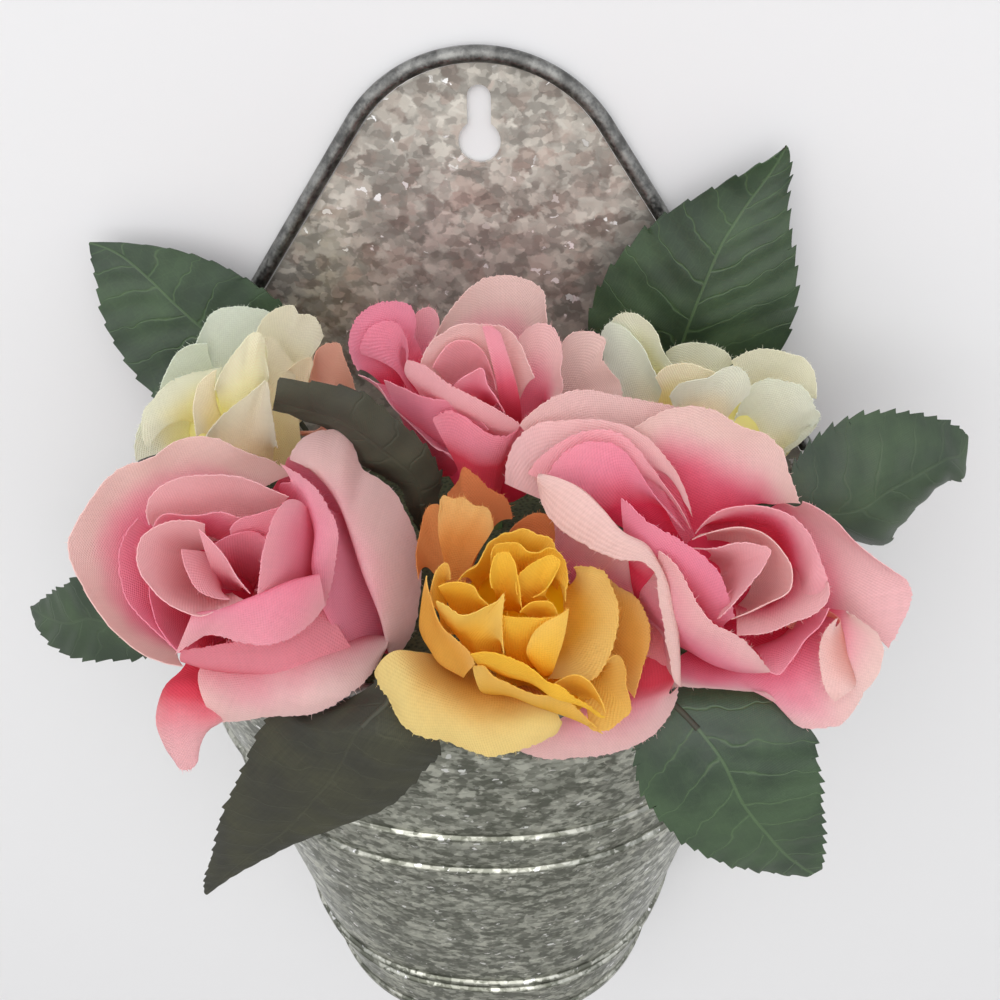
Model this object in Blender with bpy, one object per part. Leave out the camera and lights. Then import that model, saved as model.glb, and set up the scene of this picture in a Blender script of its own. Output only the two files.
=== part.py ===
"""Cloth roses and leaves in a wall-hung galvanised tin.

The back of the tin's plate lies on the wall, in the plane y = 0, and the room is towards -Y.
+Z is up. The origin is where the hanging screw sits, in the neck of the keyhole.
Lengths in this file are millimetres, and metres() turns them into Blender's metres.
"""

import math

import bmesh
import bpy
import numpy as np

# driving dimensions of the tin
ARCH_TOP = 12.2
ARCH_RADIUS = 38.8
RIM_HEIGHT = -98.0
BASE_HEIGHT = -280.0
RIM_HALF_WIDTH = 94.5
BASE_HALF_WIDTH = 56.0
DEPTH_RATIO = 1.1
SECTION_POWER = 2.25
PLATE_THICKNESS = 1.0
SHEET_THICKNESS = 0.8
HEM_RADIUS = 2.0
RIM_RADIUS = 2.3
BEAD_HEIGHTS = (-158.5, -176.0, -251.0, -256.5)
BEAD_RAISE = 1.1
BEAD_HALF_HEIGHT = 2.2
FOOT_RAISE = 0.9
WALL_STEPS = 18

# the keyhole: a narrow neck above a round hole
NECK_RADIUS = 2.9
HEAD_RADIUS = 5.2
HEAD_DROP = 10.7

# the foam inside and the stems that stand in it
FOAM_TOP = -106.0
FOAM_BOTTOM = -200.0
HOLE_DEPTH = 46.0
STEM_RADIUS = 1.7
CALYX_RADIUS = 4.6
LEAF_STALK_RADIUS = 0.9
FIT_GAP = 0.3

# the cloth
PETAL_THICKNESS = 0.7
LEAF_THICKNESS = 0.7
FOLD_GAP = 0.03
PETAL_ROWS = 5
PETAL_COLUMNS = 4
LEAF_TEETH = 8

# a rose's core by height and radius: flat below, where the calyx holds it, and domed above
CORE_PROFILE = ((-6.5, 1.2), (-6.0, 8.0), (-3.5, 13.0), (1.5, 12.5), (6.5, 8.5), (10.5, 1.2))

# every rose turns its face to one point in front of the wall
FACING_POINT = np.array([26.9, -290.0, 81.5])


def metres(points):
    """Millimetres as Blender's metres."""
    return np.asarray(points, float) * 0.001


def clear_scene():
    """Removes whatever the scene holds."""
    for thing in list(bpy.data.objects):
        bpy.data.objects.remove(thing, do_unlink=True)


def material(name, colour, roughness, metallic=0.0):
    """A plain Principled material."""
    made = bpy.data.materials.new(name)
    made.use_nodes = True
    shader = made.node_tree.nodes["Principled BSDF"]
    shader.inputs["Base Color"].default_value = (*colour, 1.0)
    shader.inputs["Roughness"].default_value = roughness
    shader.inputs["Metallic"].default_value = metallic
    return made


def solid_object(name, points, faces, finish):
    """An object whose mesh is one closed solid, with its faces turned outwards."""
    mesh = bpy.data.meshes.new(name)
    mesh.from_pydata(metres(points).tolist(), [], [list(map(int, face)) for face in faces])
    work = bmesh.new()
    work.from_mesh(mesh)
    bmesh.ops.recalc_face_normals(work, faces=work.faces)
    if work.calc_volume(signed=True) < 0:
        bmesh.ops.reverse_faces(work, faces=work.faces)
    work.to_mesh(mesh)
    work.free()
    mesh.materials.append(finish)
    made = bpy.data.objects.new(name, mesh)
    bpy.context.scene.collection.objects.link(made)
    return made


def smooth(thing, angle=40.0):
    """Smooth shading with creases sharper than the angle kept."""
    thing.data.shade_smooth()
    thing.data.set_sharp_from_angle(angle=math.radians(angle))


def loft(rings, closed_ring=True):
    """Faces that join rings of equal length in order, with both ends filled."""
    count = len(rings[0])
    faces = []
    last = count if closed_ring else count - 1
    for row in range(len(rings) - 1):
        for column in range(last):
            a = row * count + column
            b = row * count + (column + 1) % count
            faces.append((a, b, b + count, a + count))
    faces.append(tuple(range(count - 1, -1, -1)))
    faces.append(tuple(range((len(rings) - 1) * count, len(rings) * count)))
    return np.concatenate(rings), faces


def tube_rings(path, radii, sides):
    """Rings of points round a path, square to it, with one radius for each point of the path."""
    path = np.asarray(path, float)
    ahead = np.gradient(path, axis=0)
    ahead /= np.linalg.norm(ahead, axis=1, keepdims=True)
    side = np.cross(ahead[0], (0.31, 0.17, 0.93))
    angles = np.arange(sides) * 2 * math.pi / sides
    rings = []
    for point, direction, radius in zip(path, ahead, radii):
        side = side - direction * side.dot(direction)
        side /= np.linalg.norm(side)
        other = np.cross(direction, side)
        turn = np.cos(angles)[:, None] * side + np.sin(angles)[:, None] * other
        rings.append(point + radius * turn)
    return rings


def curve(points, share):
    """Points and directions on a smooth line through a few given points.

    The line is a cubic Hermite curve whose tangents are weighted by the spacing of the points.
    share runs from 0 at the first point to 1 at the last.
    """
    points = np.asarray(points, float)
    knots = np.concatenate([[0.0], np.cumsum(np.linalg.norm(np.diff(points, axis=0), axis=1))])
    knots /= knots[-1]
    spans = np.diff(knots)
    slopes = np.diff(points, axis=0) / spans[:, None]
    inner = (slopes[:-1] * spans[1:, None] + slopes[1:] * spans[:-1, None])
    inner /= (spans[:-1] + spans[1:])[:, None]
    first = 2 * slopes[0] - inner[0]
    final = 2 * slopes[-1] - inner[-1]
    tangents = np.vstack([first, inner, final])
    share = np.asarray(share, float)
    index = np.clip(np.searchsorted(knots, share, side="right") - 1, 0, len(spans) - 1)
    span = spans[index][..., None]
    t = ((share - knots[index]) / spans[index])[..., None]
    p0, p1, m0, m1 = points[index], points[index + 1], tangents[index], tangents[index + 1]
    place = (2 * t**3 - 3 * t**2 + 1) * p0 + (t**3 - 2 * t**2 + t) * span * m0
    place = place + (3 * t**2 - 2 * t**3) * p1 + (t**3 - t**2) * span * m1
    ahead = (6 * t**2 - 6 * t) * (p0 - p1) + (3 * t**2 - 4 * t + 1) * span * m0
    ahead = ahead + (3 * t**2 - 2 * t) * span * m1
    return place, ahead / np.linalg.norm(ahead, axis=-1, keepdims=True)


def half_width(height):
    """Half the tin's width at a height. Its wall tapers evenly from the rim to the base."""
    share = (RIM_HEIGHT - height) / (RIM_HEIGHT - BASE_HEIGHT)
    return RIM_HALF_WIDTH + share * (BASE_HALF_WIDTH - RIM_HALF_WIDTH)


def wall_outline(height, out=0.0, back=0.0, steps=WALL_STEPS):
    """Points round the front of the tin at a height, from +X to -X.

    The section is a half superellipse whose flat side lies on the plate, moved outwards by out.
    Its ends stop at y = -back.
    """
    width = half_width(height) + out
    depth = DEPTH_RATIO * half_width(height) + out
    start = math.atan2(back, width)
    angles = np.linspace(start, math.pi - start, steps + 1)
    c, s = np.cos(angles), np.sin(angles)
    reach = (np.abs(c) ** SECTION_POWER + np.abs(s) ** SECTION_POWER) ** (-1 / SECTION_POWER)
    outline = np.stack([width * c * reach, -depth * s * reach, np.full_like(c, height)], 1)
    outline[0, 1] = outline[-1, 1] = -back
    return outline


def arch_outline(inset, steps=20):
    """The plate's edge above the rim, from right to left, inset from its outer edge.

    Straight sides rise from the rim's corners and run tangent into the round top.
    """
    centre = ARCH_TOP - ARCH_RADIUS
    corner = np.array([RIM_HALF_WIDTH, RIM_HEIGHT])
    away = corner - (0.0, centre)
    distance = np.linalg.norm(away)
    lean = math.atan2(away[1], away[0]) + math.acos(ARCH_RADIUS / distance)
    normal = np.array([math.cos(lean), math.sin(lean)])
    angles = np.linspace(lean, math.pi - lean, steps + 1)
    radius = ARCH_RADIUS - inset
    top = np.stack([radius * np.cos(angles), centre + radius * np.sin(angles)], 1)
    right = corner - inset * normal
    return np.vstack([right, top, right * (-1, 1)])


def back_plate(finish):
    """The flat sheet on the wall: an arch above the rim, the tin's own taper below it."""
    arch = arch_outline(2 * HEM_RADIUS + FIT_GAP)
    below = np.array([(half_width(RIM_HEIGHT - 6), RIM_HEIGHT - 6), (BASE_HALF_WIDTH, BASE_HEIGHT)])
    outline = np.vstack([below[::-1], arch, below * (-1, 1)])
    front = np.stack([outline[:, 0], np.full(len(outline), -PLATE_THICKNESS), outline[:, 1]], 1)
    back = front * (1, 0, 1)
    plate = solid_object("back_plate", *loft([front, back]), finish)
    cut(plate, keyhole_cutter())
    return plate


def keyhole_cutter(steps=20):
    """A prism with the keyhole's outline: the round hole's arc and the neck's half circle."""
    meet = math.acos(NECK_RADIUS / HEAD_RADIUS)
    low = np.linspace(meet, -math.pi - meet, steps + 1)
    head = np.stack([HEAD_RADIUS * np.cos(low), HEAD_RADIUS * np.sin(low) - HEAD_DROP], 1)
    high = np.linspace(math.pi, 0, steps // 2 + 1)
    neck = np.stack([NECK_RADIUS * np.cos(high), NECK_RADIUS * np.sin(high)], 1)
    outline = np.vstack([head, neck])
    front = np.stack([outline[:, 0], np.full(len(outline), -5.0), outline[:, 1]], 1)
    return solid_object("keyhole_cutter", *loft([front, front * (1, -1, 1)]), None)


def cut(thing, cutter):
    """Takes the cutter away from the thing and removes the cutter."""
    tool = thing.modifiers.new("cut", "BOOLEAN")
    tool.operation = "DIFFERENCE"
    tool.solver = "EXACT"
    tool.object = cutter
    apply_modifiers(thing)
    bpy.data.objects.remove(cutter, do_unlink=True)


def apply_modifiers(thing):
    """Replaces the mesh by what its modifiers make of it."""
    finished = thing.evaluated_get(bpy.context.evaluated_depsgraph_get())
    mesh = bpy.data.meshes.new_from_object(finished)
    thing.modifiers.clear()
    thing.data = mesh


def plate_hem(finish):
    """The wire that the sheet's edge is rolled round, along the arch of the plate."""
    arch = arch_outline(HEM_RADIUS)
    share = (RIM_HEIGHT + RIM_RADIUS + HEM_RADIUS - arch[0, 1]) / (arch[1, 1] - arch[0, 1])
    side = arch[0] + np.linspace(share, 1, 5)[:-1, None] * (arch[1] - arch[0])
    path = np.vstack([side, arch[1:-1], side[::-1] * (-1, 1)])
    path = np.stack([path[:, 0], np.full(len(path), -HEM_RADIUS), path[:, 1]], 1)
    hem = solid_object("plate_hem", *loft(tube_rings(path, [HEM_RADIUS] * len(path), 8)), finish)
    smooth(hem)
    return hem


def tin_body(finish):
    """The bent front sheet, with raised beads and a small foot, open at the top and at its back."""
    top = RIM_HEIGHT - RIM_RADIUS - FIT_GAP
    rows = [(top, 0.0), ((top + BEAD_HEIGHTS[0]) / 2, 0.0)]
    for height in BEAD_HEIGHTS:
        rows += [(height + BEAD_HALF_HEIGHT, 0.0), (height, BEAD_RAISE), (height - BEAD_HALF_HEIGHT, 0.0)]
        if height == BEAD_HEIGHTS[1]:
            rows.append(((BEAD_HEIGHTS[1] + BEAD_HEIGHTS[2]) / 2, 0.0))
    rows += [(BASE_HEIGHT + 4.0, 0.0), (BASE_HEIGHT + 2.0, FOOT_RAISE), (BASE_HEIGHT, FOOT_RAISE)]
    gap = PLATE_THICKNESS + FIT_GAP
    outer = [wall_outline(height, raised, gap) for height, raised in rows]
    inner = [wall_outline(height, -SHEET_THICKNESS, gap) for height, raised in rows]
    rings = [np.vstack([a, b[::-1]]) for a, b in zip(outer, inner)]
    points, faces = loft(rings)
    faces = faces[:-2] + strip_caps(len(rings[0]), len(rings))
    body = solid_object("tin_body", points, faces, finish)
    smooth(body, 30)
    return body


def strip_caps(count, rows):
    """Quads that close the two ends of a loft whose ring runs out along one skin and back."""
    caps = []
    for start, flip in ((0, True), ((rows - 1) * count, False)):
        for step in range(count // 2 - 1):
            a, b = start + step, start + step + 1
            c, d = start + count - 2 - step, start + count - 1 - step
            caps.append((d, c, b, a) if flip else (a, b, c, d))
    return caps


def rim_roll(finish):
    """The rolled wire rim round the mouth."""
    gap = PLATE_THICKNESS + FIT_GAP
    path = wall_outline(RIM_HEIGHT, 0.0, gap, WALL_STEPS)
    rim = solid_object("rim_roll", *loft(tube_rings(path, [RIM_RADIUS] * len(path), 8)), finish)
    smooth(rim)
    return rim


def filled_section(name, heights, inset, finish):
    """A block that fills the tin between two heights, clear of its wall."""
    rings = []
    for height in heights:
        outline = wall_outline(height, -SHEET_THICKNESS - inset, PLATE_THICKNESS + FIT_GAP)
        rings.append(outline)
    return solid_object(name, *loft(rings), finish)


def foam_block(finish, holes):
    """The foam, with a blind hole for each stem: holes is a list of x, y and radius."""
    block = filled_section("foam_block", (FOAM_TOP, FOAM_BOTTOM), FIT_GAP, finish)
    drills = bpy.data.collections.new("drills")
    bpy.context.scene.collection.children.link(drills)
    for x, y, radius in holes:
        path = [(x, y, FOAM_TOP + 5), (x, y, FOAM_TOP - HOLE_DEPTH)]
        drill = solid_object("drill", *loft(tube_rings(path, [radius] * 2, 8)), None)
        bpy.context.scene.collection.objects.unlink(drill)
        drills.objects.link(drill)
    combine(block, drills, "DIFFERENCE")
    return block


def combine(thing, collection, operation):
    """One Boolean with every object of a collection, which is then removed."""
    tool = thing.modifiers.new("combine", "BOOLEAN")
    tool.operation = operation
    tool.operand_type = "COLLECTION"
    tool.solver = "MANIFOLD"
    tool.collection = collection
    apply_modifiers(thing)
    for piece in list(collection.objects):
        bpy.data.objects.remove(piece, do_unlink=True)
    bpy.data.collections.remove(collection)


def part_touching_folds(work):
    """Parts two folds that touch along one edge, which leaves two faces at each edge.

    Each fold gets a middle point of its own, a little inside it, in place of the shared edge.
    """
    bmesh.ops.triangulate(work, faces=work.faces)
    corners = [frozenset(face.verts) for face in work.faces]
    flaps = [face for face, key in zip(work.faces, corners) if corners.count(key) > 1]
    bmesh.ops.delete(work, geom=flaps, context="FACES")
    for edge in [edge for edge in work.edges if len(edge.link_faces) == 4]:
        start, end = edge.verts
        way = (end.co - start.co).normalized()
        ring = []
        for face in edge.link_faces:
            tip = next(vert for vert in face.verts if vert not in (start, end))
            arm = tip.co - start.co
            arm -= way * arm.dot(way)
            zero = arm if not ring else zero
            angle = math.atan2(arm.dot(way.cross(zero)), arm.dot(zero))
            ring.append((angle, face, face.normal.dot(way.cross(arm)) < 0))
        ring.sort(key=lambda item: item[0])
        while not ring[0][2]:
            ring.append(ring.pop(0))
        faces = [item[1] for item in ring]
        for fold in (faces[:2], faces[2:]):
            inward = -(fold[0].normal + fold[1].normal).normalized()
            middle = work.verts.new((start.co + end.co) / 2 + inward * metres(FOLD_GAP))
            for face in fold:
                for old in (start, end):
                    work.faces.new([middle if vert is old else vert for vert in face.verts])
        bmesh.ops.delete(work, geom=faces, context="FACES")
    work.normal_update()


def keep_outer_skin(thing):
    """Keeps the largest closed skin, and drops hollows sealed inside it and loose scraps."""
    work = bmesh.new()
    work.from_mesh(thing.data)
    part_touching_folds(work)
    unseen = set(work.verts)
    groups = []
    while unseen:
        group = {unseen.pop()}
        front = list(group)
        while front:
            for edge in front.pop().link_edges:
                for vert in edge.verts:
                    if vert in unseen:
                        unseen.discard(vert)
                        group.add(vert)
                        front.append(vert)
        groups.append(group)
    groups.sort(key=len)
    for group in groups[:-1]:
        bmesh.ops.delete(work, geom=list(group), context="VERTS")
    work.to_mesh(thing.data)
    work.free()


def stem(name, hole, centre, size, finish):
    """A stem that stands upright in its hole, bends to a rose and opens into a small calyx."""
    axes = bloom_frame(centre)
    seat = centre - axes[2] * (FIT_GAP + 0.1 - CORE_PROFILE[0][0] * size)
    neck = seat - axes[2] * 10.0
    low = (*hole, FOAM_TOP + 0.8)
    path, _ = curve([low, neck, seat - axes[2] * 4.0, seat], np.linspace(0, 1, 8))
    path = np.vstack([(*hole, FOAM_TOP - HOLE_DEPTH + 1.0), path])
    radii = np.full(len(path), STEM_RADIUS)
    radii[-2:] = (0.6 * CALYX_RADIUS, CALYX_RADIUS)
    made = solid_object(name, *loft(tube_rings(path, radii, 6)), finish)
    smooth(made)
    return made


def bloom_frame(centre):
    """Axes of a rose: x to its right, y to its top and z out of its face, one in each row."""
    face = FACING_POINT - centre
    face /= np.linalg.norm(face)
    up = np.array([0.045, 0.563, 0.825])
    up -= face * up.dot(face)
    up /= np.linalg.norm(up)
    return np.stack([np.cross(up, face), up, face])


def skin(rows, across, along):
    """A grid of points through a few lines of points, each line running across from left to right.

    Each line is a curve, and so is each way along the grid, with the same knots for all of them.
    """
    lines = np.stack([curve(row, np.linspace(0, 1, across))[0] for row in rows])
    gaps = np.linalg.norm(np.diff(lines, axis=0), axis=-1).mean(1)
    knots = np.concatenate([[0.0], np.cumsum(gaps)]) / gaps.sum()
    spans = np.diff(knots)
    slopes = np.diff(lines, axis=0) / spans[:, None, None]
    before, after = spans[:-1, None, None], spans[1:, None, None]
    inner = (slopes[:-1] * after + slopes[1:] * before) / (before + after)
    tangents = np.concatenate([2 * slopes[:1] - inner[:1], inner, 2 * slopes[-1:] - inner[-1:]])
    share = np.linspace(0, 1, along)
    index = np.clip(np.searchsorted(knots, share, side="right") - 1, 0, len(spans) - 1)
    span, t = spans[index][:, None, None], ((share - knots[index]) / spans[index])[:, None, None]
    p0, p1, m0, m1 = lines[index], lines[index + 1], tangents[index], tangents[index + 1]
    place = (2 * t**3 - 3 * t**2 + 1) * p0 + (t**3 - 2 * t**2 + t) * span * m0
    return place + (3 * t**2 - 2 * t**3) * p1 + (t**3 - t**2) * span * m1


def sheet_solid(name, grid, thickness, finish):
    """A grid of points as a closed sheet, split into triangles alike on both faces."""
    rows, columns = grid.shape[:2]
    normal = np.cross(np.gradient(grid, axis=1), np.gradient(grid, axis=0))
    normal /= np.linalg.norm(normal, axis=-1, keepdims=True)
    upper = (grid + normal * thickness / 2).reshape(-1, 3)
    lower = (grid - normal * thickness / 2).reshape(-1, 3)
    index = np.arange(rows * columns).reshape(rows, columns)
    a, b = index[:-1, :-1].ravel(), index[:-1, 1:].ravel()
    c, d = index[1:, 1:].ravel(), index[1:, :-1].ravel()
    flip = np.arange(len(a)) // (columns - 1) % 2 == 0
    first = np.where(flip[:, None], np.stack([a, b, c], 1), np.stack([a, b, d], 1))
    second = np.where(flip[:, None], np.stack([a, c, d], 1), np.stack([b, c, d], 1))
    top = np.vstack([first, second])
    edge = np.concatenate([index[0], index[1:, -1], index[-1, -2::-1], index[-2:0:-1, 0]])
    onward = np.roll(edge, -1)
    count = rows * columns
    walls = np.stack([edge, edge + count, onward + count, onward], 1)
    faces = [tuple(face) for face in top] + [tuple(face[::-1] + count) for face in top]
    return solid_object(name, np.vstack([upper, lower]), faces + [tuple(f) for f in walls], finish)


def bloom(name, centre, size, petals, finish):
    """A rose: its petals fused by one union to a small core at its centre."""
    centre = np.asarray(centre, float)
    axes = bloom_frame(centre)
    rings = tube_rings([(0, 0, height) for height, _ in CORE_PROFILE],
                       [radius for _, radius in CORE_PROFILE], 8)
    rings = [ring * size @ axes + centre for ring in rings]
    core = solid_object(name, *loft(rings), finish)
    group = bpy.data.collections.new(name + "_petals")
    bpy.context.scene.collection.children.link(group)
    for petal in petals:
        grid = skin(petal, PETAL_COLUMNS, PETAL_ROWS) * size @ axes + centre
        sheet = sheet_solid(name + "_petal", grid, PETAL_THICKNESS, finish)
        bpy.context.scene.collection.objects.unlink(sheet)
        group.objects.link(sheet)
    combine(core, group, "UNION")
    keep_outer_skin(core)
    smooth(core, 50)
    return core


def leaf_surface(rows, teeth, bite=1.2):
    """The middle surface of a serrated leaf: a skin with three points across and its teeth.

    Every second row is a tooth, which moves both edge points outwards and towards the tip.
    """
    grid = skin(rows, 3, 2 * teeth + 1)
    side = grid[:, 2] - grid[:, 0]
    width = np.linalg.norm(side, axis=1)
    side /= width[:, None]
    ahead = np.gradient(grid[:, 1], axis=0)
    ahead /= np.linalg.norm(ahead, axis=1, keepdims=True)
    tooth = np.where(np.arange(len(grid)) % 2 == 1, bite, 0.0) * np.clip(width / 12, 0, 1)
    grid[:, 0] += (ahead - side) * tooth[:, None]
    grid[:, 2] += (ahead + side) * tooth[:, None]
    return grid


def leaf(name, hole, stalk, rows, finish):
    """A leaf with its wire stalk, which stands upright in its hole and runs along the midrib."""
    grid = leaf_surface(rows, LEAF_TEETH)
    blade = sheet_solid(name, grid, LEAF_THICKNESS, finish)
    rise, _ = curve([(*hole, FOAM_TOP + 0.8), *stalk, grid[0, 1]], np.linspace(0, 1, 7))
    path = np.vstack([(*hole, FOAM_TOP - HOLE_DEPTH + 1.0), rise, grid[1:5, 1]])
    rings = tube_rings(path, [LEAF_STALK_RADIUS] * len(path), 6)
    wire = solid_object(name + "_wire", *loft(rings), finish)
    bpy.context.scene.collection.objects.unlink(wire)
    group = bpy.data.collections.new(name + "_stalk")
    bpy.context.scene.collection.children.link(group)
    group.objects.link(wire)
    combine(blade, group, "UNION")
    keep_outer_skin(blade)
    smooth(blade, 50)
    return blade


# Each petal is a list of lines across it, from root to rim, in its rose's axes.

# petals of the pink rose at the left front
ROSE_LEFT = [
    [[(-1.5, -8.5, 0), (-7.5, -4, -1), (-7, 4.5, -1), (0, 8.5, 0)],
     [(-2.5, -13, 0), (-9.5, -4.5, -1), (-9.5, 6, -1), (0, 12, 0)],
     [(-7, -19.5, 5), (-22.5, -8, 5), (-24, 9.5, 5), (-12.5, 21.5, 5), (5.5, 23, 4)],
     [(-5.5, -22.5, 9), (-11, -21.5, 10), (-20.5, -15.5, 12), (-28, -6.5, 13), (-32.5, 3.5, 13),
      (-29.5, 12.5, 13), (-22.5, 22, 11), (-16.5, 24.5, 11), (-10, 29.5, 10), (-2.5, 30.5, 9),
      (5.5, 27.5, 8), (11, 26, 7)]],
    [[(-6, 2.5, 2), (-7, -4.5, 2), (-1.5, -8.5, 2)],
     [(-6, 2.5, 2), (-7, -4.5, 2), (-2.5, -13, 2)],
     [(-14.5, 8, 8), (-15.5, -1, 9), (-12.5, -9, 9), (-4.5, -16, 8)],
     [(-18, 10.5, 13), (-21, 2.5, 15), (-20, -4, 15), (-15, -11.5, 16), (-6.5, -19, 14)]],
    [[(-8.5, 2, 4), (0, 6, 4), (6.5, 5.5, 4)],
     [(-10, 2.5, 6), (0, 6, 6), (11, 9.5, 6)],
     [(-14.5, 9, 13), (-2.5, 15, 13), (13.5, 15, 12)],
     [(-15, 9, 19), (-16, 12.5, 20), (-15, 15.5, 21), (-11.5, 18.5, 22), (-7, 20.5, 22),
      (-2, 21, 22), (4.5, 20.5, 22), (10.5, 19, 20), (15, 17.5, 19)]],
    [[(0, 4.5, 4), (-4.5, 2.5, 4), (-2.5, -3.5, 4), (4.5, -5, 4)],
     [(-2.5, 6.5, 17), (-11, 5, 17), (-10, -4.5, 17), (-2, -8, 18), (5, -5.5, 19)],
     [(-3, 9.5, 24), (-8.5, 10, 25), (-13, 8.5, 25), (-16, 5.5, 25), (-16.5, 2, 25),
      (-15.5, -1.5, 25), (-13, -4.5, 25), (-10, -7, 26), (-6, -9, 26), (-2.5, -10, 26),
      (1.5, -8.5, 26), (6.5, -6, 26)]],
    [[(4.5, 1, 4), (8, -1.5, 4), (8, -3.5, 4)],
     [(3.5, 5.5, 17), (7.5, 7, 16), (12, 5.5, 17)],
     [(2.5, 9, 22), (4.5, 11.5, 23), (8.5, 13, 23), (14.5, 15.5, 22)]],
    [[(2, -5, 4), (4.5, -5.5, 4), (7, -5, 4)],
     [(-1.5, 2, 20), (2, 0, 20), (6.5, -3.5, 20)],
     [(-4, 8.5, 27), (-0.5, 5.5, 28), (2.5, 1.5, 28), (8, -4.5, 27)]],
    [[(7.5, 4, 4), (8.5, 0.5, 4), (8, -3, 4)],
     [(21, 11.5, 10), (23, 2, 8), (19.5, -7.5, 10)],
     [(18.5, 16, 20), (18.5, 5.5, 19), (16.5, -4.5, 20)],
     [(14.5, 16.5, 25), (12, 13, 27), (10.5, 8.5, 28), (9.5, 3, 29), (9.5, -1, 29), (9.5, -5, 28)]],
    [[(5.5, 6.5, 4), (8, 3, 4), (8.5, -2, 4)],
     [(14, 16.5, 6), (20, 7, 4), (22.5, -5, 6)],
     [(13, 20.5, 13), (20.5, 12.5, 13), (22.5, 2, 13), (23.5, -7.5, 11)],
     [(15, 21.5, 19), (18.5, 18, 21), (21, 13, 21), (22, 7.5, 21), (22.5, 2, 20), (24, -5.5, 17)],
     [(12.5, 25, 18), (17.5, 22.5, 20), (21.5, 19, 21), (24.5, 15, 21), (26.5, 10.5, 21),
      (26.5, 5.5, 20), (26, -0.5, 19), (25, -6.5, 17)]],
    [[(7.5, 4, 2), (8.5, 0, 2), (8, -2.5, 0)],
     [(29.5, 16.5, 2), (38.5, 0.5, 2), (42.5, -14, 0)],
     [(27, 15, 10), (31.5, 2, 11), (33.5, -16, 8)],
     [(23, 16.5, 18), (25.5, 5.5, 19), (24.5, -7, 17)]],
    [[(4.5, 7.5, 0), (7.5, 3.5, -2), (8.5, -1, -2), (8, -3, 0)],
     [(14, 24, 0), (26.5, 12, -2), (37, -5.5, -2), (43, -18, 0)],
     [(15.5, 28, 6), (26.5, 21, 9), (36, 4, 9), (42, -15, 7)],
     [(19, 25.5, 13), (23.5, 21, 15), (27, 16, 16), (30.5, 9, 16), (34, 0.5, 16), (37.5, -7.5, 14),
      (41, -16, 10)],
     [(15, 26.5, 13), (17, 31, 13), (20.5, 33.5, 12), (24, 34.5, 11), (27.5, 33.5, 11),
      (30, 30.5, 10), (32.5, 25.5, 10), (36, 24, 10), (40.5, 21, 9), (43, 17, 9), (46, 11.5, 8),
      (48, 4, 8), (48.5, -3, 8), (48, -10.5, 8), (46.5, -15, 7), (43.5, -18.5, 7)]],
    [[(0, -8.5, 4), (6.5, -5.5, 4), (8, -2.5, 4)],
     [(0, -16.5, 4), (17.5, -14.5, 4), (31.5, -10.5, 4)],
     [(-5.5, -21, 11), (5.5, -23.5, 12), (19, -23, 13), (33, -17, 12)],
     [(-6, -18.5, 14), (5.5, -16, 16), (16.5, -14, 16), (25.5, -6.5, 14)]],
    [[(0, -8.5, 3), (4, -7.5, 3), (7.5, -4, 3)],
     [(0, -14, 3), (8, -14.5, 3), (20, -10, 3)],
     [(-4.5, -15, 14), (9, -11.5, 15), (23.5, -5.5, 14)],
     [(-4, -10.5, 24), (1, -8.5, 26), (7, -6, 28), (15, -2.5, 28), (22.5, 0.5, 26)],
     [(-7, -19, 21), (-4, -16.5, 23), (0, -14.5, 24), (6.5, -15.5, 25), (13, -15.5, 26),
      (18.5, -13, 25), (24.5, -6.5, 24)]],
    [[(8, -3, 3), (7, -4.5, 2), (5, -6.5, 3)],
     [(30.5, -12.5, 3), (20, -13, 2), (9, -12, 3)],
     [(41, -14, 10), (28, -19, 16), (12, -24.5, 13.5), (-2, -24.5, 12)],
     [(40.5, -15.5, 13), (30, -23.5, 19), (15.5, -29.5, 15), (0, -30, 12)],
     [(40, -17, 12), (33.5, -25, 19), (24.5, -31, 15.5), (12.5, -33.5, 12), (3, -34.5, 9)]],
    [[(3, -8, 4), (1, -8.5, 4), (-0.5, -8.5, 4), (-2, -8, 4)],
     [(8, -22, 5), (3, -23, 6), (-1.5, -23, 6), (-5.5, -23, 6)],
     [(5.5, -28, 9), (0, -28, 11), (-5.5, -27, 11), (-9.5, -28, 8)],
     [(5, -33.5, 10), (0, -33.5, 12), (-5.5, -32.5, 12), (-10.5, -34.5, 9)],
     [(1, -37, 9), (-2.5, -38.5, 10), (-5.5, -39, 10), (-8.5, -40, 8)],
     [(-0.5, -44, 7), (-2.5, -46, 7), (-4, -46, 7), (-5.5, -44, 7)]],
]

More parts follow.
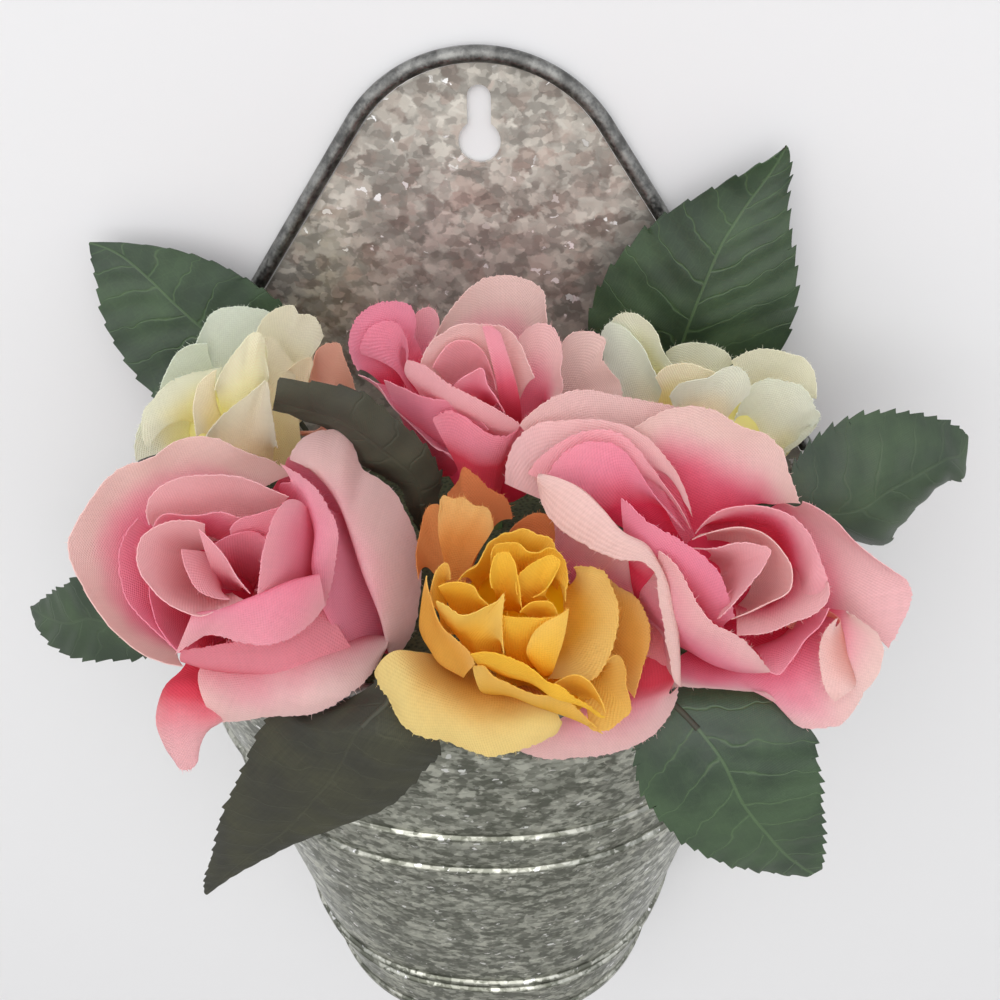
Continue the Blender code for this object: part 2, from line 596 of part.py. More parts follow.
# petals of the pink rose at the right front
ROSE_RIGHT = [
    [[(-6.5, 5.5, -2), (-5.5, 6.5, -3), (-4, 7.5, -2)],
     [(-22, 18, -2), (-16, 19, -3), (-10, 19, -2)],
     [(-39, 24.5, 7), (-28.5, 29.5, 5.5), (-16, 29.5, 3)],
     [(-47, 31, 13.5), (-42, 36, 14.5), (-37.5, 39.5, 12), (-33, 41, 9), (-26, 40.5, 7),
      (-17, 39.5, 6), (-10, 38.5, 6)]],
    [[(-6, 6, 4), (-3.5, 7.5, 4), (3.5, 8, 4)],
     [(-12, 13, 4), (-5, 10.5, 4), (6.5, 15, 4)],
     [(-16.5, 24.5, 8), (-3, 24.5, 5), (13, 17.5, 6)],
     [(-21.5, 30.5, 12), (-16.5, 34.5, 13), (-11.5, 37.5, 12), (-3, 38, 11), (4.5, 34.5, 11),
      (10, 33, 11), (13.5, 30, 11), (15.5, 25, 10), (18.5, 18, 9)]],
    [[(-7.5, 3.5, 4), (-6.5, 5.5, 4), (-4, 7.5, 4)],
     [(-16.5, 8, 6), (-11, 9, 6), (-6.5, 13, 6)],
     [(-38.5, 13.5, 13), (-25.5, 22, 12), (-10.5, 22, 11)],
     [(-49, 17, 16), (-48.5, 22, 17), (-47, 27, 17), (-43, 31, 16), (-34, 33, 15), (-24, 33, 15),
      (-17.5, 30.5, 14), (-13, 26.5, 13), (-9, 21.5, 12), (-5.5, 13, 11)]],
    [[(-8, 3, 4), (-7, 4.5, 4), (-6, 6, 4)],
     [(-16.5, 7, 10), (-12.5, 8, 9), (-8.5, 9, 9)],
     [(-30, 13.5, 15), (-22, 17.5, 15), (-11.5, 14.5, 13)],
     [(-38, 19.5, 21), (-35.5, 24, 21), (-30, 27.5, 21), (-24, 27.5, 20), (-20, 24.5, 18),
      (-16, 19, 17), (-12, 14, 15), (-7, 9.5, 13)]],
    [[(-10.5, -2, 2), (-8, -2.5, 2), (-5.5, -3, 2)],
     [(-17, -4, 2), (-13.5, -3.5, 2), (-10.5, -3.5, 2)],
     [(-20.5, -15.5, 8), (-15, -16.5, 9), (-9.5, -17.5, 10)],
     [(-22, -22.5, 10.5), (-16.5, -26.5, 10.5), (-11.5, -28, 9), (-6.5, -26.5, 8)]],
    [[(-8.5, -1.5, 3), (-7.5, -4, 4), (-5.5, -6.5, 4)],
     [(-34.5, -6.5, 3), (-23.5, -13, 4), (-13, -14.5, 5)],
     [(-38, 10, 10), (-26, 0.5, 9), (-15.5, -4, 10), (-8.5, -22, 10)],
     [(-40, 18.5, 24), (-33.5, 16, 25), (-26, 11, 26), (-20.5, 7, 26), (-14.5, 4.5, 26),
      (-11, 0, 25), (-8.5, -8, 23), (-6.5, -16.5, 20), (-5, -25.5, 16)],
     [(-39.5, 16.5, 22), (-37, 10, 22), (-34.5, 7.5, 23), (-28, 4, 24), (-20.5, 1.5, 25),
      (-15, 1.5, 26), (-12.5, 0, 25), (-11, -5.5, 24), (-9, -14.5, 21), (-6.5, -24.5, 17)]],
    [[(-6.5, -5.5, 2), (-2.5, -8, 3), (2.5, -8, 3)],
     [(-14.5, -12, 2), (-5, -17, 3), (5.5, -18, 3)],
     [(-16.5, -6, 10), (-6.5, -16, 12), (6, -21, 11)],
     [(-12.5, 0.5, 20), (-10, -3.5, 22), (-7, -8, 23), (-2.5, -13, 22), (6, -17.5, 20),
      (13.5, -20.5, 17)],
     [(-12, 4, 26), (-9.5, 2.5, 27), (-6.5, -0.5, 27), (-2.5, -6, 27), (1, -10, 26), (7, -13, 23),
      (14, -20, 18)]],
    [[(-7.5, -4.5, 4), (-2.5, -8, 4), (2, -8.5, 4)],
     [(-14.5, -8.5, 6), (-5, -15, 6), (4, -17.5, 6)],
     [(-19.5, 3, 16), (-9.5, -3.5, 18), (3, -12, 16)],
     [(-21, 15, 24), (-18, 13.5, 25), (-15, 11, 26), (-7.5, 7, 27), (-2.5, 4, 27), (1, 1, 26),
      (3.5, -3, 24), (5.5, -8.5, 20)]],
    [[(-2.5, 2.5, 4), (0, -3.5, 4), (2, -7, 4)],
     [(-1, 5, 17), (5, 2.5, 16), (3.5, -5, 17)],
     [(-5, 5, 21), (0, 6, 24), (5, 7.5, 25), (8.5, 7.5, 25), (12, 6.5, 25), (11, 3, 25),
      (8.5, -1.5, 25), (5.5, -6, 25), (2, -9.5, 23)]],
    [[(-1.5, 7, 4), (7.5, 3.5, 4), (6, -6, 4)],
     [(-2.5, 9, 12), (12, 7, 12), (14.5, -1, 12), (6.5, -8.5, 12)],
     [(-5, 7.5, 18), (0, 9.5, 20), (6, 10.5, 21), (10.5, 9.5, 21), (14.5, 6.5, 21), (17, 3, 20),
      (17, -1.5, 20), (11.5, -5.5, 20), (5, -9.5, 20)]],
    [[(-2, 8, 2), (7, 4.5, 0), (8.5, -2, 0)],
     [(-3, 10.5, 2), (13.5, 8.5, 0), (15.5, -3.5, 0)],
     [(-2.5, 12, 10), (15, 11.5, 10), (19.5, 0, 10), (12, -10, 10)],
     [(-4.5, 9, 15), (0, 13.5, 17), (5, 15, 18), (11.5, 15.5, 19), (17, 14, 19), (20.5, 11, 19),
      (23, 6, 19), (25, 0.5, 18), (24, -5, 18)]],
    [[(8.5, 1, 2), (8, -2.5, 2), (5.5, -6, 2)],
     [(13.5, 1.5, 2), (12, -3.5, 2), (5.5, -6, 2)],
     [(19.5, 3.5, 10), (17.5, -3, 12), (6, -8, 12)],
     [(25, 0.5, 19), (25, -3.5, 20), (22, -7, 21), (17.5, -9, 21), (12, -11.5, 21),
      (6.5, -13, 20)]],
    [[(8.5, -1.5, -2), (7, -4.5, -2), (4.5, -7.5, 0)],
     [(18, -3.5, -2), (16, -10.5, -2), (9, -15, 0)],
     [(24, -5.5, 8), (19.5, -12, 10), (12, -17, 10)],
     [(26, -5, 15), (24.5, -8.5, 16), (21, -13, 17), (18.5, -17.5, 17), (16, -20.5, 17),
      (14, -20, 17)]],
    [[(5, 7, -3.5), (8.5, 1.5, -3.5), (8, -3, -3.5)],
     [(13.5, 18, -4), (20.5, 4, -4), (27.5, -10.5, -4)],
     [(18, 17.5, 2), (31.5, 4, 2), (32.5, -7.5, 2)],
     [(19, 18.5, 7), (22.5, 17, 8), (26.5, 14.5, 8), (30.5, 11, 7), (36, 7.5, 6), (40.5, 5, 5),
      (43.5, 3, 4), (45, 0, 3), (44.5, -4, 3), (43, -8, 4), (40.5, -13, 5)]],
    [[(-1, -8.5, 2), (5, -6.5, 1), (8.5, -2, 0)],
     [(-1.5, -15.5, 2), (10, -13, 1), (21.5, -5, 0)],
     [(-8.5, -21.5, 9), (14, -20.5, 8), (30, -5.5, 6)],
     [(-11, -26.5, 9), (-2.5, -26, 9.5), (8.5, -26, 9), (15, -26, 9), (18.5, -29, 8), (21, -32, 8),
      (28, -32, 8), (31, -31, 8), (33.5, -27.5, 9), (35.5, -23, 9), (38, -19, 9), (39, -14, 9),
      (38, -10.5, 9), (34.5, -7.5, 9), (30.5, -5, 9)]],
    [[(-6.5, -8, 4), (-4.5, -7.5, 4), (-2, -6.5, 4)],
     [(-15, -20, 9.5), (-11.5, -18.5, 9), (-7.5, -17.5, 8)],
     [(-24, -29.5, 12.5), (-16, -27.5, 12), (-6.5, -24.5, 12)],
     [(-34.5, -38, 12), (-20.5, -33.5, 13), (-7.5, -27.5, 13)],
     [(-45.5, -43.5, 9), (-41, -45, 9), (-35, -46, 9), (-28, -45, 9), (-21.5, -43.5, 10),
      (-15.5, -41, 10), (-10.5, -37.5, 10), (-6.5, -31.5, 10.5), (-5.5, -26, 11)]],
]

# petals of the small ruffled yellow rose in the middle
ROSE_YELLOW = [
    [[(-10.5, 2.5, -3.5), (-8, 3, -3.5), (-5.5, 3, -3.5)],
     [(-15, 4.5, -4), (-12.5, 4, -4), (-10.5, 4.5, -4)],
     [(-17, 15.5, 0), (-12.5, 17, 0), (-8, 17, 0)],
     [(-18, 24.5, 4), (-16, 27.5, 4), (-15, 30.5, 5), (-12, 29, 5), (-9, 26.5, 4), (-5, 24.5, 3),
      (-3.5, 20, 2)]],
    [[(-11, 1.5, 2), (-8.5, 1.5, 2), (-6, 1, 2)],
     [(-14.5, 2, 2), (-13, 1.5, 2), (-11, 2, 2)],
     [(-18, 11, 8), (-14.5, 11, 7), (-11, 9.5, 8)],
     [(-19, 16, 12), (-13.5, 16, 12), (-8, 15, 12)],
     [(-18.5, 20.5, 14), (-18.5, 23, 14), (-16, 22.5, 15), (-14, 23, 14), (-11.5, 21.5, 15),
      (-8.5, 21, 14), (-7.5, 19, 14), (-7, 17, 13)]],
    [[(-8.5, 0, 0), (-1, 2, -2), (8, 0, 0)],
     [(-11, 5.5, 8), (-1, 10, 6), (8.5, 6.5, 8)],
     [(-13, 4.5, 13), (-11.5, 6.5, 14), (-9.5, 8, 14), (-8.5, 10.5, 15), (-7.5, 13.5, 15),
      (-5.5, 15.5, 15), (-3, 16.5, 16), (-0.5, 17.5, 16), (2.5, 16.5, 16), (5.5, 16, 16),
      (7.5, 13, 16), (9.5, 10, 15), (10, 6.5, 15), (10, 2.5, 15)]],
    [[(-5.5, 0, 4), (0, 1, 3), (6.5, 0, 4)],
     [(-6.5, 7.5, 12), (0, 9.5, 12), (6.5, 7.5, 12)],
     [(-7, 10.5, 17), (-6.5, 13, 18), (-4, 14, 19), (-1.5, 14, 19), (1, 12, 20), (3.5, 12, 20),
      (5, 13, 20), (7.5, 12, 19), (9, 9.5, 18), (9.5, 5, 18)]],
    [[(-4, -2.5, 4), (-2, -3.5, 4), (0.5, -4.5, 4)],
     [(-5.5, 3, 15), (-2.5, 2, 13), (0, 1, 15)],
     [(-6, 4, 21), (-6.5, 8, 22), (-5.5, 11, 23), (-3.5, 11.5, 23), (-2, 10, 23), (-1, 7, 22),
      (0, 3.5, 21), (0.5, 0, 20)]],
    [[(1, -3.5, 4), (2.5, -4, 4), (4.5, -2, 4)],
     [(-0.5, 2.5, 15), (2.5, 2, 14), (5.5, 3, 15)],
     [(-1, 3, 20), (-1, 6.5, 21), (1, 9, 22), (3, 10.5, 23), (5.5, 11.5, 23), (7, 11, 23),
      (6.5, 7.5, 22), (5, 4.5, 21), (2.5, 2.5, 20)]],
    [[(-8, -5, 4), (-5.5, -5.5, 4), (-3.5, -6, 4)],
     [(-9, -6.5, 4), (-6.5, -6.5, 4), (-4.5, -5.5, 4)],
     [(-16, 1, 12), (-12, 1, 13), (-6, -1, 13)],
     [(-17.5, 3.5, 18), (-15, 4.5, 19), (-12, 4.5, 20), (-10, 4, 20), (-8.5, 2, 20),
      (-6.5, 0.5, 20), (-5, -0.5, 19)]],
    [[(-5.5, -7.5, 4), (-3, -8, 4), (-0.5, -8.5, 4)],
     [(-6.5, -11, 6), (-4.5, -11.5, 6), (-2.5, -10.5, 6)],
     [(-15, -4.5, 14), (-8.5, -6.5, 16), (-3, -6.5, 16)],
     [(-17.5, 0.5, 20), (-14.5, -0.5, 21), (-12, -2, 22), (-9, -1.5, 23), (-6.5, 0, 24),
      (-4.5, 1.5, 24), (-3.5, 3, 25), (-3.5, -0.5, 24), (-3.5, -4, 22), (-2.5, -9.5, 20)]],
    [[(-1, -8.5, 4), (0.5, -8.5, 4), (2.5, -8, 4)],
     [(-1, -12, 6), (1, -12.5, 6), (3.5, -11.5, 6)],
     [(-3, -6.5, 16), (1, -6.5, 17), (5.5, -6.5, 16)],
     [(-4, -1.5, 22), (-1.5, -1.5, 23), (1.5, -1.5, 23), (5, -1.5, 23), (8, -0.5, 22),
      (9.5, 0.5, 21)]],
    [[(5.5, -6.5, 2), (5.5, -2.5, 1), (6, 3.5, 2)],
     [(8, -11.5, 8), (15, -2, 9), (12, 8, 8)],
     [(7, -14, 12), (11.5, -13.5, 13), (15.5, -14, 13), (17.5, -12.5, 13), (19.5, -8.5, 13),
      (20.5, -3, 13), (20.5, 2, 13), (19, 6.5, 13), (17.5, 9.5, 12), (14.5, 10.5, 12),
      (11, 10.5, 11)]],
    [[(8, -2, -2), (8.5, 2, -2), (7.5, 4, -2)],
     [(9, -2.5, -2), (10, 2, -2), (11.5, 5.5, -2)],
     [(20, -11, 4), (22, -3.5, 4), (19, 5.5, 4)],
     [(26, -17, 8), (26.5, -13.5, 9), (27.5, -9.5, 9), (28.5, -5.5, 9), (28.5, -1.5, 8),
      (27, 2, 7), (25, 5, 5.5), (22, 6.5, 4.5), (18.5, 9, 3.5)]],
    [[(5.5, -6.5, 0), (7, -5, 0), (7.5, -4, 0)],
     [(9, -10, 0), (11, -8.5, 0), (13.5, -6.5, 0)],
     [(15, -17, 9), (18.5, -14, 9), (19.5, -9.5, 9)],
     [(16.5, -23.5, 14), (18.5, -24, 14), (21, -23.5, 14), (23, -21.5, 14), (25, -19.5, 14),
      (24.5, -16.5, 14), (23.5, -14, 14), (23, -10.5, 14), (21.5, -8, 13), (19, -9.5, 13)]],
    [[(-3, -8, 4), (1.5, -8.5, 4), (5, -7, 4)],
     [(-4, -11, 4), (2, -12, 4), (9, -13, 4)],
     [(-7.5, -13, 13), (2, -15, 13), (15, -19, 13)],
     [(-8.5, -12, 17), (-3, -12, 18), (2, -13.5, 18), (8.5, -17, 18), (13.5, -18.5, 18),
      (18, -21, 17)],
     [(-9.5, -10.5, 20), (-6, -9.5, 21), (-3, -9.5, 22), (1, -10.5, 22), (4, -12.5, 22),
      (6.5, -14.5, 21), (9.5, -15, 21), (12, -16.5, 20), (15.5, -18.5, 19), (19.5, -21, 17)]],
    [[(-2.5, -8, 3.5), (1, -8.5, 3.5), (4, -7.5, 3.5)],
     [(-5.5, -18, 3.5), (2, -19.5, 3.5), (11, -20.5, 3.5)],
     [(-7, -18, 8), (2, -19.5, 9), (15, -22.5, 9)],
     [(-9, -12.5, 15), (-7, -12, 16), (-4, -14.5, 16), (-1.5, -15.5, 16), (2.5, -17, 16),
      (6.5, -17.5, 16), (9.5, -17, 16), (13.5, -19.5, 15), (17, -22.5, 14), (19.5, -24.5, 13)]],
    [[(-7.5, -4, 3), (-6.5, -5.5, 3), (-5.5, -6.5, 3)],
     [(-15.5, -9, 3), (-13, -10.5, 3), (-9.5, -11.5, 3)],
     [(-21, -6.5, 8), (-17, -12, 10), (-11, -15.5, 10)],
     [(-21, -0.5, 14), (-17, -6.5, 15), (-10, -14, 14)],
     [(-20, 5.5, 18), (-19.5, 2, 19), (-18, -1.5, 20), (-15.5, -5, 20), (-12.5, -7.5, 20),
      (-10, -9.5, 20), (-8.5, -12, 18)]],
    [[(-6, -6, -3), (-4, -7.5, -3), (-1.5, -8.5, -3)],
     [(-11.5, -11.5, -3), (-7, -13, -3), (-2.5, -13.5, -3)],
     [(-21, -11, 5), (-8.5, -19.5, 7), (8, -19, 6)],
     [(-26.5, -11, 9), (-15, -22, 11), (10, -22, 9)],
     [(-30.5, -16, 9), (-29, -19, 9), (-26.5, -21.5, 9), (-24.5, -25, 9), (-21, -28, 9),
      (-17, -29, 9), (-13.5, -29.5, 9), (-10.5, -30.5, 9), (-7, -31.5, 9), (-4, -32, 9),
      (0, -31, 9), (4.5, -29, 9), (7.5, -27, 9), (10, -25, 9), (10.5, -23, 9)]],
]

# petals of the pink rose against the plate
ROSE_TOP = [
    [[(-4.5, 7, -3.5), (-2.5, 8, -3.5), (1, 8.5, -3.5)],
     [(-9, 14, -4), (-4, 13.5, -4), (1.5, 14, -4)],
     [(-15.5, 25.5, 0), (-3.5, 28.5, -1), (8, 27, 0)],
     [(-17.5, 27, 4), (-15.5, 31.5, 5), (-12, 36.5, 6), (-9.5, 39.5, 6), (-6, 42.5, 6),
      (-2, 43.5, 6), (1.5, 43.5, 6), (5.5, 42.5, 6), (8.5, 40.5, 6), (9.5, 36.5, 6),
      (10.5, 32.5, 5)]],
    [[(-9.5, 3, 0), (-7, 4.5, 0), (-5, 5.5, 0)],
     [(-21, 8.5, 0), (-18.5, 11, 0), (-16, 13.5, 0)],
     [(-31.5, 17, 7), (-24.5, 22, 6), (-20, 24, 6)],
     [(-34, 17.5, 11), (-37, 24, 11), (-36, 28.5, 12), (-33.5, 32, 12), (-30, 34, 12),
      (-26, 34.5, 11), (-23, 34, 10), (-21.5, 31, 9), (-21.5, 26.5, 8)]],
    [[(4.5, 6, -2.5), (7, 5, -2.5), (9, 3.5, -2.5)],
     [(9, 8.5, -2), (12.5, 7.5, -3), (16.5, 8.5, -2)],
     [(12.5, 20.5, 2), (19.5, 21, 3), (26.5, 13.5, 3)],
     [(14, 28, 6), (16, 30.5, 7), (19, 31.5, 7), (22, 31.5, 7), (24.5, 30, 7), (24.5, 25, 7),
      (27, 22, 7), (29, 20, 6), (30, 16.5, 6), (31, 12.5, 5)]],
    [[(3.5, 7.5, 3.5), (5, 6, 3.5), (7, 4.5, 3.5)],
     [(3.5, 6, 4), (6, 6.5, 3), (8.5, 8.5, 4)],
     [(4, 20, 12), (9, 19.5, 12), (12.5, 13, 12)],
     [(3.5, 27.5, 16), (5.5, 30, 17), (8, 31.5, 17), (11, 31, 17), (13, 28.5, 17), (14, 24.5, 17),
      (13.5, 21, 17), (14.5, 17, 16), (13.5, 12.5, 15)]],
    [[(-6.5, 5, 4), (-3.5, 7.5, 4), (3.5, 8, 4)],
     [(-11, 8.5, 4), (-3.5, 7.5, 4), (3.5, 8.5, 4)],
     [(-16.5, 17.5, 16), (-6, 20.5, 14), (6, 16.5, 16)],
     [(-19, 19.5, 21), (-18, 22.5, 22), (-16, 25.5, 23), (-13.5, 27, 24), (-11, 28.5, 25),
      (-7.5, 29, 25), (-4, 29, 25), (-0.5, 29, 25), (2, 27.5, 25), (4, 25, 24), (6, 21.5, 23),
      (8, 18.5, 22)]],
    [[(1, 7, 4), (3.5, 7, 4), (6, 7, 4)],
     [(-1.5, 18.5, 22), (0.5, 18.5, 22), (3, 18.5, 22)],
     [(-5, 28.5, 27), (-3, 28.5, 28), (-1, 27.5, 27)]],
    [[(-5.5, 6.5, 4), (-3.5, 6.5, 4), (-0.5, 7, 4)],
     [(-9.5, 13, 20), (-5.5, 14.5, 20), (0, 12, 20)],
     [(-10.5, 15, 24), (-8.5, 17, 26), (-6.5, 18, 27), (-4.5, 19, 28), (-3, 16, 27),
      (-0.5, 12.5, 25), (1.5, 10, 22)]],
    [[(-8, -2.5, 4), (-6, -3, 4), (-1, -1.5, 4)],
     [(-11, -4, 4), (-6, -3, 4), (-1, -1.5, 4)],
     [(-19, 13, 14), (-8, 7, 16), (2.5, 3.5, 16)],
     [(-22.5, 18, 20), (-18.5, 15.5, 22), (-12.5, 12.5, 24), (-5.5, 10, 24), (4.5, 5.5, 23)],
     [(-22, 20, 22), (-18.5, 19, 24), (-12.5, 15.5, 26), (-7, 13.5, 26), (-1, 11, 26), (5, 7, 25)]],
    [[(-7.5, 4, 4), (-4.5, 0.5, 4), (-1, -3.5, 4)],
     [(-23, 13.5, 6), (-11, 6, 8), (-1, -3.5, 8)],
     [(-30, 15, 8), (-20.5, 7, 10.5), (-5, -4, 11)],
     [(-34, 16.5, 12), (-30, 15, 13), (-25, 8.5, 14), (-21.5, 5.5, 13.5), (-18, 3, 14),
      (-14, 0.5, 15), (-8.5, -1, 17), (-6, -3, 16), (-3.5, -6, 16), (2, -13, 13)]],
    [[(-2.5, -8, 4), (-0.5, -8.5, 4), (1.5, -8.5, 4)],
     [(-3.5, -12.5, 6), (-0.5, -13, 6), (1.5, -11, 6)],
     [(-9.5, -2.5, 16), (-1, -5, 17), (4.5, 2.5, 16)],
     [(-15, 7, 22), (-12.5, 9, 23), (-11, 9.5, 24), (-7.5, 8, 25), (-4.5, 6, 25), (-1, 4.5, 24),
      (2, 4.5, 24), (4.5, 5.5, 24), (6, 7.5, 23), (10, 10, 21), (14.5, 12.5, 19)]],
]

# petals of the cream rose at the left back
ROSE_CREAM_LEFT = [
    [[(-3.5, 7.5, -3.5), (0, 8, -3.5), (4, 7.5, -3.5)],
     [(-10, 19, 0), (-2.5, 21.5, -1), (5.5, 20.5, 0)],
     [(-12, 20.5, 2), (-10.5, 25.5, 3), (-9.5, 28, 3), (-7, 30, 3), (-3.5, 31, 3), (0.5, 31, 3),
      (4.5, 30.5, 3), (7.5, 28.5, 2)]],
    [[(-6, 5, -3.5), (-4.5, 6.5, -3.5), (-2.5, 7.5, -3.5)],
     [(-14.5, 11, 0), (-12.5, 14.5, -1), (-8.5, 17, 0)],
     [(-20, 8.5, 3), (-19, 12.5, 4), (-17.5, 16.5, 4), (-15, 19, 4), (-12, 20.5, 4),
      (-9.5, 21, 4)]],
    [[(4.5, 4.5, -1), (7, 4, -1), (9.5, 4, -1)],
     [(5.5, 5, -1), (9, 5, -1), (12.5, 5.5, -1)],
     [(3.5, 17.5, 5), (10, 20.5, 4), (17, 16.5, 5)],
     [(2, 23.5, 8), (4, 28.5, 9), (7, 31, 9), (10, 32, 9), (10.5, 32, 9), (12, 30, 9),
      (15.5, 30, 9), (17.5, 28, 9), (18.5, 25, 8), (17, 21.5, 8), (15, 18.5, 8)]],
    [[(-1, -5, 4), (2.5, -5.5, 4), (6.5, -5, 4)],
     [(-6, 8.5, 14), (1, 11, 17), (6, 10, 14)],
     [(-6.5, 9, 17), (-5.5, 13, 19), (-3.5, 17, 20), (-1, 20.5, 21), (1, 23, 21), (3, 23.5, 21),
      (4, 22.5, 20), (4.5, 19, 19), (5.5, 13.5, 18)]],
    [[(0, -8.5, 4), (2.5, -8, 4), (4.5, -7.5, 4)],
     [(0, -12.5, 4), (4, -13, 4), (7.5, -12.5, 4)],
     [(-6, -3.5, 14), (1, -2.5, 17), (8.5, -3.5, 14)],
     [(-8, -2.5, 18), (-4, 3, 21), (0, 7, 23), (3, 10, 24), (5, 12, 24), (6.5, 7, 23),
      (8, 1.5, 21), (9.5, -3.5, 19)]],
    [[(5.5, -6.5, 4), (6.5, -5.5, 4), (7.5, -4, 4)],
     [(8, -10, 6), (11, -10, 5), (14.5, -7.5, 4)],
     [(6.5, 2.5, 12), (10, 2.5, 10), (14.5, 2.5, 8)],
     [(5.5, 12.5, 15), (8.5, 13, 12), (13, 11.5, 9)],
     [(4, 22.5, 17), (6, 23, 15), (8.5, 21, 12), (12, 17.5, 9)]],
    [[(-6.5, -5, -3.5), (-7.5, -4, -3.5), (-8.5, -1.5, -3.5)],
     [(-10, -8, -4), (-10, -5, -4), (-8.5, -1.5, -4)],
     [(-18.5, -7.5, 1), (-18.5, -2.5, 1), (-14, 4.5, 1)],
     [(-24.5, -10, 3), (-25, -5.5, 4), (-24.5, -1.5, 4), (-22.5, 2.5, 4), (-19, 7.5, 3)]],
    [[(-6, -2.5, 0), (-4.5, 0, 0), (-2.5, 2.5, 0)],
     [(-17, 0, 6), (-13.5, 6, 6), (-6, 11, 7)],
     [(-21.5, -6.5, 8), (-23.5, -1.5, 8), (-23.5, 2, 8), (-21, 6, 8), (-19, 9, 8), (-16.5, 11, 8),
      (-12.5, 13, 8), (-9, 14, 8), (-5.5, 15, 9)]],
    [[(6, 1, -0.5), (8.5, 1, -0.5), (11, 1, -0.5)],
     [(20.5, 3, 0), (23, 3, -1), (26.5, 4.5, 0)],
     [(16.5, 11.5, 4), (21.5, 14.5, 4), (27.5, 12, 4)],
     [(16, 14, 7), (16.5, 17.5, 8), (17.5, 21.5, 8), (20, 23.5, 8), (22.5, 24, 8), (24.5, 20.5, 8),
      (27.5, 15, 7), (28.5, 11, 6)]],
]

# petals of the cream rose at the right back
ROSE_CREAM_RIGHT = [
    [[(-7, 5, -3.5), (-5.5, 6.5, -3.5), (-2.5, 7.5, -3.5)],
     [(-10, 7.5, -5), (-6.5, 7.5, -5), (-2.5, 7.5, -5)],
     [(-12.5, 14, -3), (-6, 15.5, -3), (0, 13.5, -3)],
     [(-13.5, 18.5, -1), (-11.5, 20, 0), (-8.5, 21, 0), (-4.5, 21, 0), (-1.5, 20.5, 0),
      (1.5, 19, 0), (3, 16.5, -1)]],
    [[(5, 2.5, -3.5), (6.5, 2.5, -3.5), (8, 2.5, -3.5)],
     [(5, 2.5, -4), (8.5, 2.5, -4), (12, 2.5, -4)],
     [(5, 11, -1), (12, 13.5, -2), (20.5, 8.5, -1)],
     [(2.5, 17, 3), (5, 19, 3), (8.5, 20.5, 3), (12.5, 20.5, 3), (16.5, 19.5, 3), (19.5, 18.5, 3),
      (21.5, 16, 3), (22.5, 13, 3), (23, 9, 2)]],
    [[(-9.5, 5, -1), (-7.5, 3.5, -1), (-5.5, 2.5, -1)],
     [(-16, 5, -1), (-13.5, 6.5, -1), (-10.5, 7.5, -1)],
     [(-22, 20, 3), (-17, 17.5, 2), (-13, 13.5, 3)],
     [(-27, 24.5, 6), (-25, 26.5, 7), (-22, 27, 7), (-18.5, 25.5, 7), (-15.5, 22.5, 6),
      (-14, 19, 6), (-13, 17, 5), (-11.5, 15, 5)]],
    [[(-11, 1.5, 2.5), (-8.5, 1.5, 2.5), (-6, 1, 2.5)],
     [(-18.5, 1.5, 2), (-15.5, 1.5, 2), (-11.5, 4, 3)],
     [(-25.5, 9, 4), (-22.5, 11.5, 4), (-17, 11, 6), (-13, 7.5, 7)],
     [(-29, 17.5, 4), (-29, 22.5, 5), (-27.5, 24.5, 6), (-25, 24, 7), (-21.5, 21.5, 8),
      (-18.5, 18.5, 9), (-16, 14, 9), (-13, 10, 9)]],
    [[(5, -4, 0), (7.5, -4, 0), (10, -4, 0)],
     [(7, -5, 0), (11, -5.5, 0), (14.5, -6.5, 0)],
     [(5.5, 2.5, 6), (13, 3.5, 5), (21, 2, 6)],
     [(4.5, 2.5, 9), (6, 8, 10), (8, 11.5, 10), (11.5, 13, 10), (15.5, 12.5, 10), (19, 11.5, 10),
      (21.5, 9, 10), (22.5, 6.5, 10), (24, 5, 9), (22, 2, 8)]],
    [[(-8.5, 2, 4), (-7.5, 2.5, 4), (-3.5, 3, 4)],
     [(-11, 2.5, 4), (-7.5, 2.5, 4), (-3.5, 3, 4)],
     [(-13.5, 9, 10), (-8, 10, 10), (-1.5, 10, 10)],
     [(-15, 11.5, 13), (-12.5, 14, 14), (-9.5, 15, 14), (-6, 15, 14), (-3, 14, 14),
      (-1, 13.5, 14)]],
    [[(-6, -2.5, 4), (-2.5, -2.5, 4), (1, -2, 4)],
     [(-10, 4.5, 13), (-3.5, 6, 14), (3.5, 4.5, 13)],
     [(-11, 7, 17), (-9, 10, 18), (-6, 11, 19), (-2.5, 12, 19), (0, 14, 19), (3, 15, 19),
      (5.5, 14, 18), (7, 12, 17), (7, 8.5, 16)]],
]


